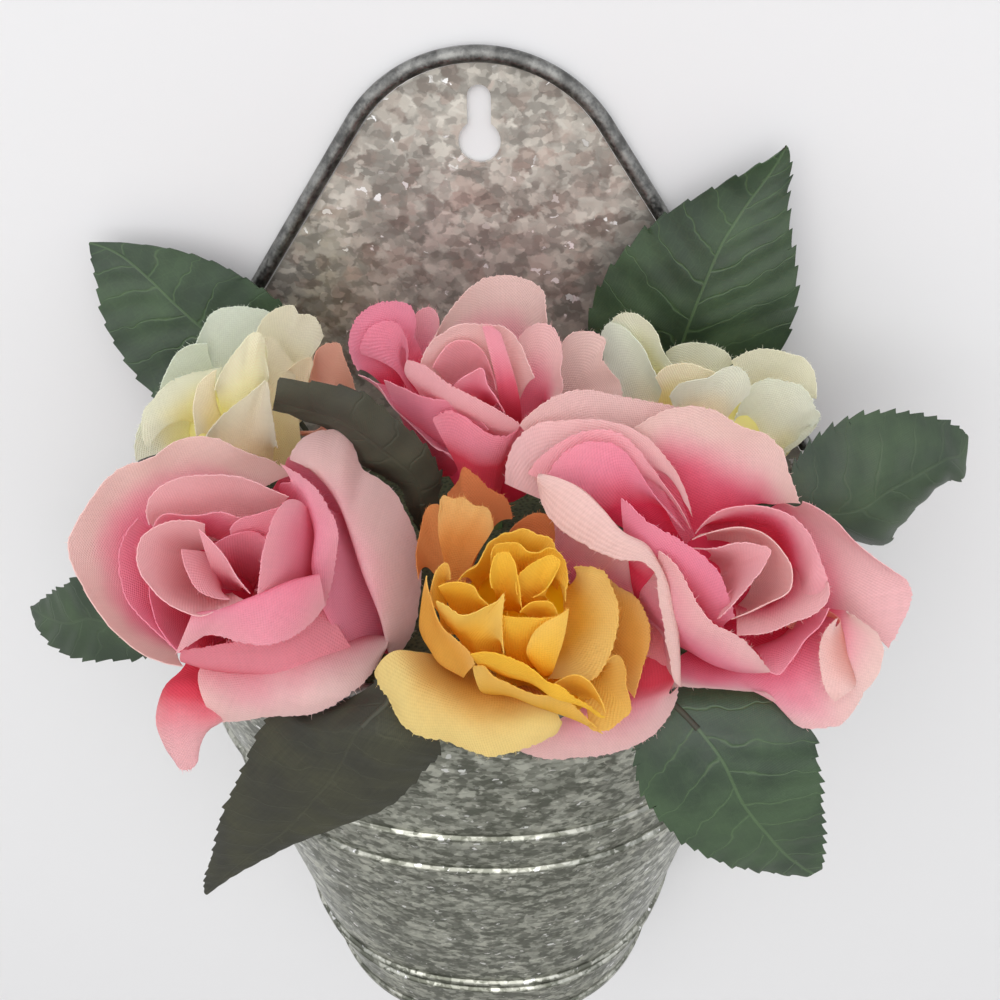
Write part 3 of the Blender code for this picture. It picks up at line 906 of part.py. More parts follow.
def build():
    """Makes every piece of the tin and its roses."""
    clear_scene()
    sheet = material("galvanised_sheet", (0.36, 0.36, 0.34), 0.45, 1.0)
    hem = material("galvanised_hem", (0.20, 0.20, 0.19), 0.5, 1.0)
    foam = material("foam", (0.10, 0.09, 0.07), 0.95)
    green = material("stem_wrap", (0.09, 0.16, 0.08), 0.7)
    leaf_cloth = material("leaf_cloth", (0.04, 0.09, 0.05), 0.75)
    pink = material("pink_cloth", (0.72, 0.24, 0.30), 0.9)
    yellow = material("yellow_cloth", (0.85, 0.55, 0.12), 0.9)
    cream = material("cream_cloth", (0.78, 0.75, 0.58), 0.9)

    back_plate(sheet)
    plate_hem(hem)
    tin_body(sheet)
    rim_roll(hem)
    base = (BASE_HEIGHT + 1.4, BASE_HEIGHT + 0.4)
    filled_section("tin_base", base, FIT_GAP, sheet)

    roses = [
        ("left", (-53.0, -84.0, -80.6), 0.93, (-60, -62), ROSE_LEFT, pink),
        ("yellow", (15.2, -92.0, -82.0), 0.95, (14, -70), ROSE_YELLOW, yellow),
        ("right", (56.5, -80.0, -80.0), 0.92, (59, -58), ROSE_RIGHT, pink),
        ("top", (6.8, -50.0, -69.6), 0.95, (5, -28), ROSE_TOP, pink),
        ("cream_left", (-57.4, -40.0, -71.0), 0.97, (-62, -18), ROSE_CREAM_LEFT, cream),
        ("cream_right", (59.0, -40.0, -67.0), 0.97, (61, -18), ROSE_CREAM_RIGHT, cream),
    ]
    for name, centre, size, hole, petals, cloth in roses:
        bloom("rose_" + name, centre, size, petals, cloth)
        stem("stem_" + name, hole, np.asarray(centre), size, green)

    leaves = [
        ("upper_left", (-40, -20), [(-46, -19, -84)], [
            [(-61.5, -17, -68.5), (-60, -17, -67), (-58.5, -17, -66)],
            [(-82, -19, -76.5), (-71, -15, -57.5), (-48.5, -17, -50)],
            [(-92.5, -17, -65), (-79, -14, -50), (-58, -15, -42)],
            [(-97, -15, -53.5), (-86.5, -12.5, -44), (-69, -13, -37.5)],
            [(-98, -12, -43), (-93.5, -11, -38.5), (-83.5, -11, -35)],
            [(-99.5, -9, -36), (-99.5, -9, -35.5), (-99, -9, -35.5)]]),
        ("upper_right", (36, -16), [(41, -17, -86)], [
            [(44.5, -15, -69.5), (46, -15, -70), (47.5, -15, -69)],
            [(28.5, -15, -58), (49.5, -13, -59.5), (74, -14, -62.5)],
            [(29.5, -15, -45), (53, -14, -50), (78, -15, -49)],
            [(35.5, -15, -33.5), (57, -14, -41), (77.5, -15, -38)],
            [(44.5, -13, -24.5), (61.5, -13, -31), (75, -14, -28)],
            [(56, -12, -18), (65.5, -11, -21.5), (73.5, -12, -19)],
            [(65.5, -12, -12.5), (70, -10.5, -13.5), (73.5, -11, -12.5)],
            [(72, -11, -8), (72, -11, -7.5), (72.5, -11, -8)]]),
        ("right", (66, -44), [(69, -54, -91)], [
            [(73.5, -62, -72), (74, -63, -72.5), (75, -62, -74.5)],
            [(76, -57, -64.5), (82, -62, -73.5), (90.5, -56, -85.5)],
            [(81.5, -52, -60.5), (90.5, -60, -74), (100, -52, -90)],
            [(88.5, -49, -57.5), (98, -57, -74), (103.5, -50, -86.5)],
            [(97.5, -46, -58), (105, -54, -73), (108, -49, -80)],
            [(107, -44, -60), (112, -50, -71), (112.5, -48, -74)],
            [(113.5, -43, -62.5), (116, -46, -70), (117, -45, -74)],
            [(116, -43, -64), (117, -43, -65), (117, -43, -66)]]),
        ("lower_right", (32, -76), [(40, -94, -92)], [
            [(47.5, -98.5, -97.5), (46.5, -99, -98.5), (45.5, -99.5, -99)],
            [(61.5, -97, -96), (53.5, -104, -101), (41.5, -104.5, -107)],
            [(75.5, -103.5, -99.5), (60, -108, -107), (42.5, -108, -117)],
            [(79, -106.5, -109), (67, -109.5, -116), (49, -109.5, -127.5)],
            [(81.5, -107.5, -120.5), (74, -108.5, -127.5), (59.5, -108.5, -137.5)],
            [(84.5, -104.5, -137), (81, -105, -139.5), (72.5, -104.5, -147)],
            [(86, -102, -148.5), (85, -102.5, -149), (83.5, -102, -151)]]),
        ("lower_left", (-14, -76), [(-10, -97, -93)], [
            [(-7.5, -104, -87.5), (-9, -104, -87.5), (-10, -104, -87)],
            [(-3, -109.5, -93), (-10.5, -109.5, -92.5), (-16.5, -105.5, -94.5)],
            [(-0.5, -113, -100.5), (-16, -114.5, -97), (-27.5, -103, -103)],
            [(-4, -112, -110), (-25, -110.5, -112.5), (-39, -102, -107.5)],
            [(-11.5, -109, -124), (-33.5, -108.5, -125.5), (-47, -101.5, -123)],
            [(-23.5, -105, -136.5), (-43, -104.5, -141), (-54, -99, -139)],
            [(-41, -100, -152.5), (-53, -99.5, -158.5), (-62, -94, -161.5)],
            [(-69.5, -88, -188.5), (-70, -88, -189), (-70.5, -88, -188)]]),
        ("small_left", (-60, -38), [(-66, -48, -92), (-79, -60, -90.5), (-86, -70, -103)], [
            [(-80.5, -66, -121), (-80.5, -66, -119), (-80.5, -66, -117)],
            [(-85, -64, -125.5), (-89, -64, -117), (-90.5, -62, -105)],
            [(-95.5, -62, -128.5), (-97, -61, -117.5), (-97, -59, -104)],
            [(-107, -58, -131.5), (-105.5, -57, -119), (-105, -55, -111)],
            [(-116.5, -52, -130), (-114, -51, -122.5), (-113, -50, -118.5)],
            [(-121, -46, -126.5), (-121, -46, -125.5), (-120.5, -46, -125.5)]]),
        ("curled", (-14, -44), [(-12, -52, -98)], [
            [(-10.5, -58, -88), (-9, -58, -88.5), (-8.5, -58, -88)],
            [(-12, -61, -79.5), (-9, -62, -77.5), (-6, -61, -76.5)],
            [(-14.5, -62, -71), (-10, -65, -66), (-5.5, -62, -66.5)],
            [(-22, -64, -64.5), (-14.5, -68, -56.5), (-9.5, -65, -56)],
            [(-25, -62, -60), (-19, -70, -49.5), (-14.5, -68, -49)],
            [(-29.5, -60, -57.5), (-22, -71, -44.5), (-19, -70, -43)],
            [(-35.5, -60, -55), (-28.5, -71, -43.5), (-25, -71, -40.5)],
            [(-40.5, -66, -49.5), (-38, -71, -43), (-37, -71, -39.5)]]),
    ]
    for name, hole, stalk, rows in leaves:
        leaf("leaf_" + name, hole, stalk, rows, leaf_cloth)

    holes = [(*rose[3], STEM_RADIUS + FIT_GAP + 0.1) for rose in roses]
    holes += [(*spray[1], LEAF_STALK_RADIUS + FIT_GAP + 0.1) for spray in leaves]
    foam_block(foam, holes)


build()
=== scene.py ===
import math

import bmesh
import bpy
import numpy as np
from mathutils import Matrix


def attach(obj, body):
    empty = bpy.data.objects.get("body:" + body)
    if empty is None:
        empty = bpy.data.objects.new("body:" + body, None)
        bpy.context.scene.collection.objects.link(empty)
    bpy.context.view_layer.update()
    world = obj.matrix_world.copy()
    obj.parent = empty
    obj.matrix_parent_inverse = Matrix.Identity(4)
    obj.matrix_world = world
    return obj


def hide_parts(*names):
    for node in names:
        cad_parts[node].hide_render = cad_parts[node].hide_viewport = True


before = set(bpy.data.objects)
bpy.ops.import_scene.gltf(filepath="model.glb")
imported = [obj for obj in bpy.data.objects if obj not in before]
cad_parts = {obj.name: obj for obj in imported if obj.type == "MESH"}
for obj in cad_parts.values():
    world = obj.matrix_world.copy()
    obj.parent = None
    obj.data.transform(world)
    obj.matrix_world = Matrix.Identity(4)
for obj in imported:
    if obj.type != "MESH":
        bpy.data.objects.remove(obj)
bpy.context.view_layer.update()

# The wall, the light and the camera
# The tin hangs on a smooth white wall above a pale floor. One large window in front of it lights
# it softly, and the camera looks down on the roses from in front of the screw.


def add_node(tree, kind, inputs=(), **settings):
    """Adds a node. An input that is given a socket is linked to it, and any other value is set."""
    made = tree.nodes.new("ShaderNode" + kind)
    for name, value in settings.items():
        setattr(made, name, value)
    for key, value in dict(inputs).items():
        if isinstance(value, bpy.types.NodeSocket):
            tree.links.new(value, made.inputs[key])
        else:
            made.inputs[key].default_value = value
    return made


def calc(tree, operation, *values):
    """A Math node's result for values that are numbers or sockets."""
    return add_node(tree, "Math", dict(enumerate(values)), operation=operation).outputs[0]


def rise(tree, value, low, high, start=0.0, end=1.0):
    """Goes smoothly from start to end while value goes from low to high."""
    inputs = {"Value": value, "From Min": low, "From Max": high, "To Min": start, "To Max": end}
    return add_node(tree, "MapRange", inputs, interpolation_type="SMOOTHSTEP").outputs[0]


def blend_colours(tree, share, first, second, kind="MIX"):
    """Mixes two colours, which are sockets or sRGB values from 0 to 255."""
    inputs = {0: share, 6: colour(first), 7: colour(second)}
    return add_node(tree, "Mix", inputs, data_type="RGBA", blend_type=kind).outputs[2]


def colour(value):
    """An sRGB colour from 0 to 255 as Blender's linear one. A socket passes as it is."""
    if isinstance(value, bpy.types.NodeSocket):
        return value
    share = np.asarray(value, float) / 255
    linear = np.where(share <= 0.04045, share / 12.92, ((share + 0.055) / 1.055) ** 2.4)
    return (*linear.tolist(), 1.0)


def new_material(name):
    """A material with its node tree and Principled shader."""
    made = bpy.data.materials.new(name)
    made.use_nodes = True
    return made, made.node_tree, made.node_tree.nodes["Principled BSDF"]


def flat_stage(name, corners, finish):
    """One flat quad that belongs to the room."""
    mesh = bpy.data.meshes.new(name)
    mesh.from_pydata(corners, [], [(0, 1, 2, 3)])
    mesh.materials.append(finish)
    made = bpy.data.objects.new(name, mesh)
    bpy.context.scene.collection.objects.link(made)
    return made


def paint_room(name, tint):
    """Matt paint that is solid from the room's side and clear from behind.

    It is also clear to light that starts right in front of it, so that what leans on the wall has
    a lit back when it is looked at from behind.
    """
    paint, tree, shader = new_material(name)
    shader.inputs["Base Color"].default_value = colour(tint)
    shader.inputs["Roughness"].default_value = 0.9
    shader.inputs["Specular IOR Level"].default_value = 0.1
    behind = add_node(tree, "NewGeometry").outputs["Backfacing"]
    path = add_node(tree, "LightPath").outputs
    close = calc(tree, "LESS_THAN", path["Ray Length"], 0.004)
    clear = add_node(tree, "BsdfTransparent").outputs[0]
    share = calc(tree, "MAXIMUM", calc(tree, "MAXIMUM", behind, path["Is Shadow Ray"]), close)
    mix = add_node(tree, "MixShader", {0: share, 1: shader.outputs[0], 2: clear})
    tree.links.new(mix.outputs[0], tree.nodes["Material Output"].inputs[0])
    return paint


WALL_PLANE, FLOOR_HEIGHT, ROOM_REACH = 0.0006, -0.46, 2.5
flat_stage("wall", [(-ROOM_REACH, WALL_PLANE, FLOOR_HEIGHT), (ROOM_REACH, WALL_PLANE, FLOOR_HEIGHT),
                    (ROOM_REACH, WALL_PLANE, ROOM_REACH), (-ROOM_REACH, WALL_PLANE, ROOM_REACH)],
           paint_room("white_paint", (216, 216, 216)))
flat_stage("floor", [(-ROOM_REACH, -ROOM_REACH, FLOOR_HEIGHT), (ROOM_REACH, -ROOM_REACH, FLOOR_HEIGHT),
                     (ROOM_REACH, ROOM_REACH, FLOOR_HEIGHT), (-ROOM_REACH, ROOM_REACH, FLOOR_HEIGHT)],
           paint_room("pale_floor", (188, 188, 184)))

world = bpy.data.worlds.new("room_light")
bpy.context.scene.world = world
world.use_nodes = True
world.node_tree.nodes["Background"].inputs["Color"].default_value = colour((243, 244, 250))
world.node_tree.nodes["Background"].inputs["Strength"].default_value = 1.2


def window(name, place, aim, size, power, tint):
    """A square soft light that faces a point."""
    lamp = bpy.data.lights.new(name, "AREA")
    lamp.shape, lamp.size, lamp.energy = "SQUARE", size, power
    lamp.color = colour(tint)[:3]
    made = bpy.data.objects.new(name, lamp)
    bpy.context.scene.collection.objects.link(made)
    away = np.subtract(place, aim)
    away = away / np.linalg.norm(away)
    side = np.cross((0, 0, 1), away)
    side /= np.linalg.norm(side)
    made.matrix_world = placed(place, side, np.cross(away, side), away)
    return made


def placed(place, x_axis, y_axis, z_axis):
    """The matrix of an object with these axes at a place."""
    matrix = np.eye(4)
    matrix[:3, 0], matrix[:3, 1], matrix[:3, 2], matrix[:3, 3] = x_axis, y_axis, z_axis, place
    return Matrix(matrix.tolist())


window("window_light", (-0.1, -1.4, 0.6), (0.0, -0.05, -0.2), 1.7, 14.0, (255, 252, 248))

# The camera is held level but for a small tilt, and looks down and a little to the left.
CAMERA_PLACE = np.array([0.0269, -0.29, 0.0815])
LOOK_DOWN, TILT, TURN = math.radians(34.27), math.radians(-0.66), math.radians(4.53)
turned = np.array([[math.cos(TURN), -math.sin(TURN), 0], [math.sin(TURN), math.cos(TURN), 0], [0, 0, 1]])
ahead = turned @ (0, math.cos(LOOK_DOWN), -math.sin(LOOK_DOWN))
level_right = turned @ (1.0, 0, 0)
level_up = turned @ (0, math.sin(LOOK_DOWN), math.cos(LOOK_DOWN))
right = level_right * math.cos(TILT) + level_up * math.sin(TILT)
up = level_up * math.cos(TILT) - level_right * math.sin(TILT)
lens = bpy.data.cameras.new("camera")
lens.sensor_width, lens.lens = 36.0, 43.2
lens.clip_start, lens.clip_end = 0.01, 20.0
camera = bpy.data.objects.new("camera", lens)
bpy.context.scene.collection.objects.link(camera)
camera.matrix_world = placed(CAMERA_PLACE, right, up, -ahead)
bpy.context.scene.camera = camera
bpy.context.scene.view_settings.view_transform = "Standard"

# The sheet steel of the tin
# The back plate and the body are galvanised sheet steel. The zinc has grown flat crystals, each
# with its own grey, which show as a mottle of dull and dark flakes. White glints and a pink
# reflection of the roses are painted into the colour of some of them.


def node_group(name, inputs, outputs):
    """A shader node group with its input and output sockets, as (group, inputs, outputs)."""
    group = bpy.data.node_groups.new(name, "ShaderNodeTree")
    kinds = {"value": "NodeSocketFloat", "colour": "NodeSocketColor", "vector": "NodeSocketVector"}
    for label, (kind, start) in inputs.items():
        socket = group.interface.new_socket(label, in_out="INPUT", socket_type=kinds[kind])
        socket.default_value = start
    for label, kind in outputs.items():
        group.interface.new_socket(label, in_out="OUTPUT", socket_type=kinds[kind])
    enter, leave = group.nodes.new("NodeGroupInput"), group.nodes.new("NodeGroupOutput")
    return group, enter.outputs, leave.inputs


def use_group(tree, group, inputs):
    """Places a node group in a material with its values and links."""
    made = tree.nodes.new("ShaderNodeGroup")
    made.node_tree = group
    for key, value in inputs.items():
        if isinstance(value, bpy.types.NodeSocket):
            tree.links.new(value, made.inputs[key])
        else:
            made.inputs[key].default_value = value
    return made.outputs


def zinc_crystals():
    """Flat crystals: cells of two sizes with a ragged outline, each with its own grey and tilt.
    Some cells carry a painted pink reflection of the roses, and some carry painted white glints.
    """
    group, given, made = node_group(
        "zinc_crystals",
        {"Place": ("vector", (0, 0, 0)), "Size": ("value", 0.004), "Dark": ("colour", (0, 0, 0, 1)),
         "Light": ("colour", (1, 1, 1, 1)), "Patch": ("value", 0.5), "Rose_reflection": ("value", 0.3),
         "Tilt": ("value", 0.2)},
        {"Colour": "colour", "Roughness": "value", "Normal": "vector"})
    scale = calc(group, "DIVIDE", 1.0, given["Size"])
    place = add_node(group, "VectorMath", {0: given["Place"], "Scale": scale}, operation="SCALE")
    rag = add_node(group, "TexNoise", {"Vector": place.outputs[0], "Scale": 1.7, "Detail": 3.0})
    shift = add_node(group, "VectorMath", {0: rag.outputs["Color"], 1: (0.5, 0.5, 0.5)},
                     operation="SUBTRACT")
    ragged = add_node(group, "VectorMath", {0: shift.outputs[0], 1: (0.9, 0.9, 0.9),
                                            2: place.outputs[0]}, operation="MULTIPLY_ADD")
    large = add_node(group, "TexVoronoi", {"Vector": ragged.outputs[0], "Scale": 1.0,
                                           "Smoothness": 0.45}, feature="SMOOTH_F1")
    small = add_node(group, "TexVoronoi", {"Vector": ragged.outputs[0], "Scale": 2.1,
                                           "Smoothness": 0.35}, feature="SMOOTH_F1")
    big = add_node(group, "SeparateColor", {0: large.outputs["Color"]}).outputs
    tiny = add_node(group, "SeparateColor", {0: small.outputs["Color"]}).outputs
    cloud = add_node(group, "TexNoise", {"Vector": place.outputs[0], "Scale": 0.22, "Detail": 2.0})
    tone = calc(group, "MULTIPLY_ADD", big[0], 0.42, calc(group, "MULTIPLY", tiny[0], 0.38))
    tone = calc(group, "MULTIPLY_ADD", cloud.outputs[0], given["Patch"], tone)
    grey = rise(group, tone, 0.32, 1.02)
    base = blend_colours(group, grey, given["Dark"], given["Light"])
    # Painted reflection: cells picked by their blue value are tinted pink, standing in for the roses seen in
    # the zinc.
    painted_rose_reflection = calc(group, "MULTIPLY", rise(group, big[2], 0.45, 0.9), given["Rose_reflection"])
    base = blend_colours(group, painted_rose_reflection, base, (206, 176, 170), "MULTIPLY")
    # Painted glints: near-white flecks are put into the colour of some crystals, standing in for highlights
    # on the zinc.
    painted_glint = calc(group, "MULTIPLY", rise(group, tiny[1], 0.9, 0.97), rise(group, big[1], 0.5, 0.8))
    group.links.new(blend_colours(group, painted_glint, base, (246, 246, 244)), made["Colour"])
    rough = rise(group, big[1], 0.0, 1.0, 0.42, 0.28)
    group.links.new(rough, made["Roughness"])
    lean = add_node(group, "VectorMath", {0: small.outputs["Color"], 1: (0.5, 0.5, 0.5)},
                    operation="SUBTRACT")
    lean = add_node(group, "VectorMath", {0: lean.outputs[0], "Scale": given["Tilt"]},
                    operation="SCALE")
    normal = add_node(group, "NewGeometry").outputs["Normal"]
    leaning = add_node(group, "VectorMath", {0: normal, 1: lean.outputs[0]}, operation="ADD")
    leaning = add_node(group, "VectorMath", {0: leaning.outputs[0]}, operation="NORMALIZE")
    group.links.new(leaning.outputs[0], made["Normal"])
    return group


ZINC_CRYSTALS = zinc_crystals()


def galvanised(name, size, stretch, dark, light, patch, rose_reflection_share, tilt, metal):
    """Galvanised sheet with crystals of a size in metres, wider than tall, from dark to light."""
    made, tree, shader = new_material(name)
    place = add_node(tree, "TexCoord").outputs["Object"]
    place = add_node(tree, "VectorMath", {0: place, 1: (1, 1, stretch)}, operation="MULTIPLY").outputs[0]
    zinc = use_group(tree, ZINC_CRYSTALS, {"Place": place, "Size": size, "Dark": colour(dark),
                                           "Light": colour(light), "Patch": patch, "Rose_reflection": rose_reflection_share,
                                           "Tilt": tilt})
    tree.links.new(zinc["Colour"], shader.inputs["Base Color"])
    tree.links.new(zinc["Roughness"], shader.inputs["Roughness"])
    tree.links.new(zinc["Normal"], shader.inputs["Normal"])
    shader.inputs["Metallic"].default_value = metal
    return made


# The plate carries much more of the painted pink reflection of the roses than the body does.
PLATE_ZINC = galvanised("plate_zinc", 0.0042, 1.2, (140, 136, 128), (204, 199, 188), 0.5, 0.4, 0.12, 0.5)
BODY_ZINC = galvanised("body_zinc", 0.0034, 1.3, (104, 106, 95), (206, 207, 195), 0.38, 0.05, 0.05, 1.0)


def finish_solid(name, finish):
    """Gives a solid that keeps its plain form its finish."""
    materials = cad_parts[name].data.materials
    materials.clear()
    materials.append(finish)


finish_solid("back_plate", PLATE_ZINC)
finish_solid("tin_base", BODY_ZINC)

# The body of the tin
# One sheet is bent round the front, tapers to the base and carries two pairs of raised beads. Its
# lower edge is folded over the base, and its sides lie against the back plate.
RIM_HEIGHT, BASE_HEIGHT = -0.098, -0.280
RIM_HALF_WIDTH, BASE_HALF_WIDTH, DEPTH_RATIO, SECTION_POWER = 0.0945, 0.056, 1.1, 2.25
PLATE_GAP, SHEET, WIRE_RADIUS = 0.0013, 0.0008, 0.0023
BEAD_HEIGHTS, BEAD_RAISE, BEAD_HALF_HEIGHT = (-0.1585, -0.176, -0.251, -0.2565), 0.0012, 0.0014
FOOT_HEIGHT, FOOT_EASE, FOOT_RAISE = 0.0036, 0.0012, 0.0009
RIM_GAP, DENT = 0.0003, 0.0002


def half_width(height):
    """Half the tin's width, which falls evenly from the rim to the base."""
    share = (RIM_HEIGHT - height) / (RIM_HEIGHT - BASE_HEIGHT)
    return RIM_HALF_WIDTH + share * (BASE_HALF_WIDTH - RIM_HALF_WIDTH)


def wall_points(height, out, angle):
    """The tin's wall: a superellipse of half_width and 1.1 times that deep, moved outwards by out.

    At an angle a from +X its reach is (|cos a|^p + |sin a|^p)^(-1/p) along (w cos a, -d sin a).
    """
    height, out, angle = np.broadcast_arrays(height, out, angle)
    c, s = np.cos(angle), np.sin(angle)
    reach = (np.abs(c) ** SECTION_POWER + np.abs(s) ** SECTION_POWER) ** (-1 / SECTION_POWER)
    width, depth = half_width(height) + out, DEPTH_RATIO * half_width(height) + out
    y = np.minimum(-depth * s * reach, -PLATE_GAP)
    return np.stack([width * c * reach, y, height], -1)


def sheet_parts(grid, thickness):
    """A closed sheet round a grid: its points moved half the thickness each way along the normals.

    Returns the points, the quads, and for each point the row and column shares from 0 to 1.
    """
    rows, columns = grid.shape[:2]
    normal = np.cross(np.gradient(grid, axis=1), np.gradient(grid, axis=0))
    normal /= np.linalg.norm(normal, axis=-1, keepdims=True) + 1e-12
    points = np.concatenate([(grid + normal * thickness / 2).reshape(-1, 3),
                             (grid - normal * thickness / 2).reshape(-1, 3)])
    index = np.arange(rows * columns).reshape(rows, columns)
    top = np.stack([index[:-1, :-1], index[:-1, 1:], index[1:, 1:], index[1:, :-1]], -1).reshape(-1, 4)
    edge = np.concatenate([index[0], index[1:, -1], index[-1, -2::-1], index[-2:0:-1, 0]])
    onward, count = np.roll(edge, -1), rows * columns
    rim = np.stack([onward, edge, edge + count, onward + count], 1)
    quads = np.concatenate([top, top[:, ::-1] + count, rim])
    u, v = np.meshgrid(np.linspace(0, 1, columns), np.linspace(0, 1, rows))
    share = np.tile(np.stack([u, v], -1).reshape(-1, 2), (2, 1))
    return points, quads, share


def make_piece(name, points, quads, finishes, slots=None, maps=(), values=(), crease=50.0):
    """An object at the origin from whole arrays: points, quads, UV maps and point values."""
    mesh = bpy.data.meshes.new(name)
    mesh.vertices.add(len(points))
    mesh.vertices.foreach_set("co", np.asarray(points, np.float32).ravel())
    mesh.loops.add(quads.size)
    mesh.loops.foreach_set("vertex_index", quads.astype(np.int32).ravel())
    mesh.polygons.add(len(quads))
    mesh.polygons.foreach_set("loop_start", np.arange(0, quads.size, 4, dtype=np.int32))
    if slots is not None:
        mesh.polygons.foreach_set("material_index", slots.astype(np.int32))
    for finish in finishes:
        mesh.materials.append(finish)
    mesh.update(calc_edges=True)
    for label, pairs in dict(maps).items():
        layer = mesh.uv_layers.new(name=label)
        layer.data.foreach_set("uv", pairs[quads.ravel()].astype(np.float32).ravel())
    for label, numbers in dict(values).items():
        layer = mesh.attributes.new(label, "FLOAT_COLOR", "POINT")
        layer.data.foreach_set("color", numbers.astype(np.float32).ravel())
    mesh.validate()
    mesh.shade_smooth()
    mesh.set_sharp_from_angle(angle=math.radians(crease))
    made = bpy.data.objects.new(name, mesh)
    bpy.context.scene.collection.objects.link(made)
    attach(made, "root")
    return made


def bead_raise(height):
    """Each bead stands out as half a turn of a cosine, and the foot as a fold round the base."""
    out = np.zeros_like(height)
    for middle in BEAD_HEIGHTS:
        near = np.abs(height - middle) / BEAD_HALF_HEIGHT
        out += BEAD_RAISE * np.where(near < 1, 0.5 + 0.5 * np.cos(np.pi * np.minimum(near, 1)), 0)
    foot = np.clip((BASE_HEIGHT + FOOT_HEIGHT - height) / FOOT_EASE, 0, 1)
    return out + FOOT_RAISE * foot * foot * (3 - 2 * foot)


plain = np.linspace(RIM_HEIGHT - WIRE_RADIUS - RIM_GAP, BASE_HEIGHT, 70)
near_beads = np.concatenate([np.linspace(h + 0.0026, h - 0.0026, 15) for h in BEAD_HEIGHTS])
near_foot = np.linspace(BASE_HEIGHT + 0.004, BASE_HEIGHT, 12)
heights = np.unique(np.concatenate([plain, near_beads, near_foot]).round(5))[::-1]
angles = np.linspace(0, math.pi, 161)
dents = DENT * np.sin(5 * angles[None] + 40 * heights[:, None]) * np.sin(70 * heights[:, None])
wall = wall_points(heights[:, None], (bead_raise(heights) - SHEET / 2)[:, None] + dents, angles[None])
tin_body = make_piece("tin_sheet", *sheet_parts(wall[:, ::-1], SHEET)[:2], [BODY_ZINC])
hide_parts("tin_body")

# The hem and the rim
# The arched edge of the plate is rolled round a wire, and so is the rim of the tin's mouth. Both
# are of handled zinc, duller and darker than the flat sheet.


def tube_quads(path, radius, sides=16):
    """A closed tube round a path, with rings square to it and a fan of quads closing each end."""
    ahead = np.gradient(path, axis=0)
    ahead /= np.linalg.norm(ahead, axis=1, keepdims=True)
    side = np.cross(ahead, (0.0, -1.0, 0.0))
    flat = np.linalg.norm(side, axis=1, keepdims=True) < 1e-3
    side = np.where(flat, np.cross(ahead, (0.0, 0.0, 1.0)), side)
    side /= np.linalg.norm(side, axis=1, keepdims=True)
    other = np.cross(ahead, side)
    turn = np.arange(sides) * 2 * math.pi / sides
    radius = np.broadcast_to(radius, len(path))
    ring = side[:, None] * np.cos(turn)[None, :, None] + other[:, None] * np.sin(turn)[None, :, None]
    rings = path[:, None] + ring * radius[:, None, None]
    rings = np.concatenate([path[:1, None].repeat(sides, 1), rings, path[-1:, None].repeat(sides, 1)])
    index = np.arange(rings.shape[0] * sides).reshape(-1, sides)
    nxt = np.roll(index, -1, axis=1)
    quads = np.stack([index[:-1], nxt[:-1], nxt[1:], index[1:]], -1).reshape(-1, 4)
    return rings.reshape(-1, 3), quads


def weld(piece):
    """Merges doubled points and turns every face outwards."""
    work = bmesh.new()
    work.from_mesh(piece.data)
    bmesh.ops.remove_doubles(work, verts=work.verts, dist=1e-7)
    bmesh.ops.recalc_face_normals(work, faces=work.faces)
    if work.calc_volume(signed=True) < 0:
        bmesh.ops.reverse_faces(work, faces=work.faces)
    work.to_mesh(piece.data)
    work.free()


def dull_zinc(name, tint, dark):
    """Handled zinc on a rolled edge: soft grey with darker rubbed patches along it."""
    made, tree, shader = new_material(name)
    place = add_node(tree, "TexCoord").outputs["Object"]
    patch = add_node(tree, "TexNoise", {"Vector": place, "Scale": 260.0, "Detail": 4.0}).outputs[0]
    fine = add_node(tree, "TexNoise", {"Vector": place, "Scale": 1400.0, "Detail": 3.0}).outputs[0]
    share = rise(tree, calc(tree, "MULTIPLY_ADD", fine, 0.5, patch), 0.55, 1.0)
    tree.links.new(blend_colours(tree, share, dark, tint), shader.inputs["Base Color"])
    tree.links.new(rise(tree, fine, 0.3, 0.7, 0.35, 0.6), shader.inputs["Roughness"])
    bump = add_node(tree, "Bump", {"Height": fine, "Strength": 0.15, "Distance": 0.0003})
    tree.links.new(bump.outputs[0], shader.inputs["Normal"])
    shader.inputs["Metallic"].default_value = 1.0
    return made


EDGE_ZINC = dull_zinc("edge_zinc", (150, 150, 146), (92, 92, 90))
ARCH_TOP, ARCH_RADIUS, HEM_RADIUS = 0.0122, 0.0388, 0.002
RIM_END_TURN = 0.0137


def arch_path(inset, steps=96):
    """The hem's middle line: a straight side up from each corner, tangent to the round top."""
    centre = ARCH_TOP - ARCH_RADIUS
    corner = np.array([RIM_HALF_WIDTH, RIM_HEIGHT])
    away = corner - (0.0, centre)
    lean = math.atan2(away[1], away[0]) + math.acos(ARCH_RADIUS / np.linalg.norm(away))
    turn = np.linspace(lean, math.pi - lean, steps + 1)
    radius = ARCH_RADIUS - inset
    top = np.stack([radius * np.cos(turn), centre + radius * np.sin(turn)], 1)
    foot = corner - inset * np.array([math.cos(lean), math.sin(lean)])
    share = (RIM_HEIGHT + WIRE_RADIUS + HEM_RADIUS - foot[1]) / (top[0, 1] - foot[1])
    side = foot + np.linspace(share, 1, 30)[:-1, None] * (top[0] - foot)
    path = np.vstack([side, top, side[::-1] * (-1, 1)])
    return np.stack([path[:, 0], np.full(len(path), -inset), path[:, 1]], 1)


hem = make_piece("rolled_hem", *tube_quads(arch_path(HEM_RADIUS), HEM_RADIUS), [EDGE_ZINC])
weld(hem)
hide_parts("plate_hem")
rim_line = wall_points(RIM_HEIGHT, 0.0, np.linspace(RIM_END_TURN, math.pi - RIM_END_TURN, 181))
rim = make_piece("rolled_rim", *tube_quads(rim_line, WIRE_RADIUS), [EDGE_ZINC])
weld(rim)
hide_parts("rim_roll")

# The foam
# A block of dry flower foam is pressed into the tin and holds every stem. It is porous and dark,
# and only glimpses of it show between the petals.


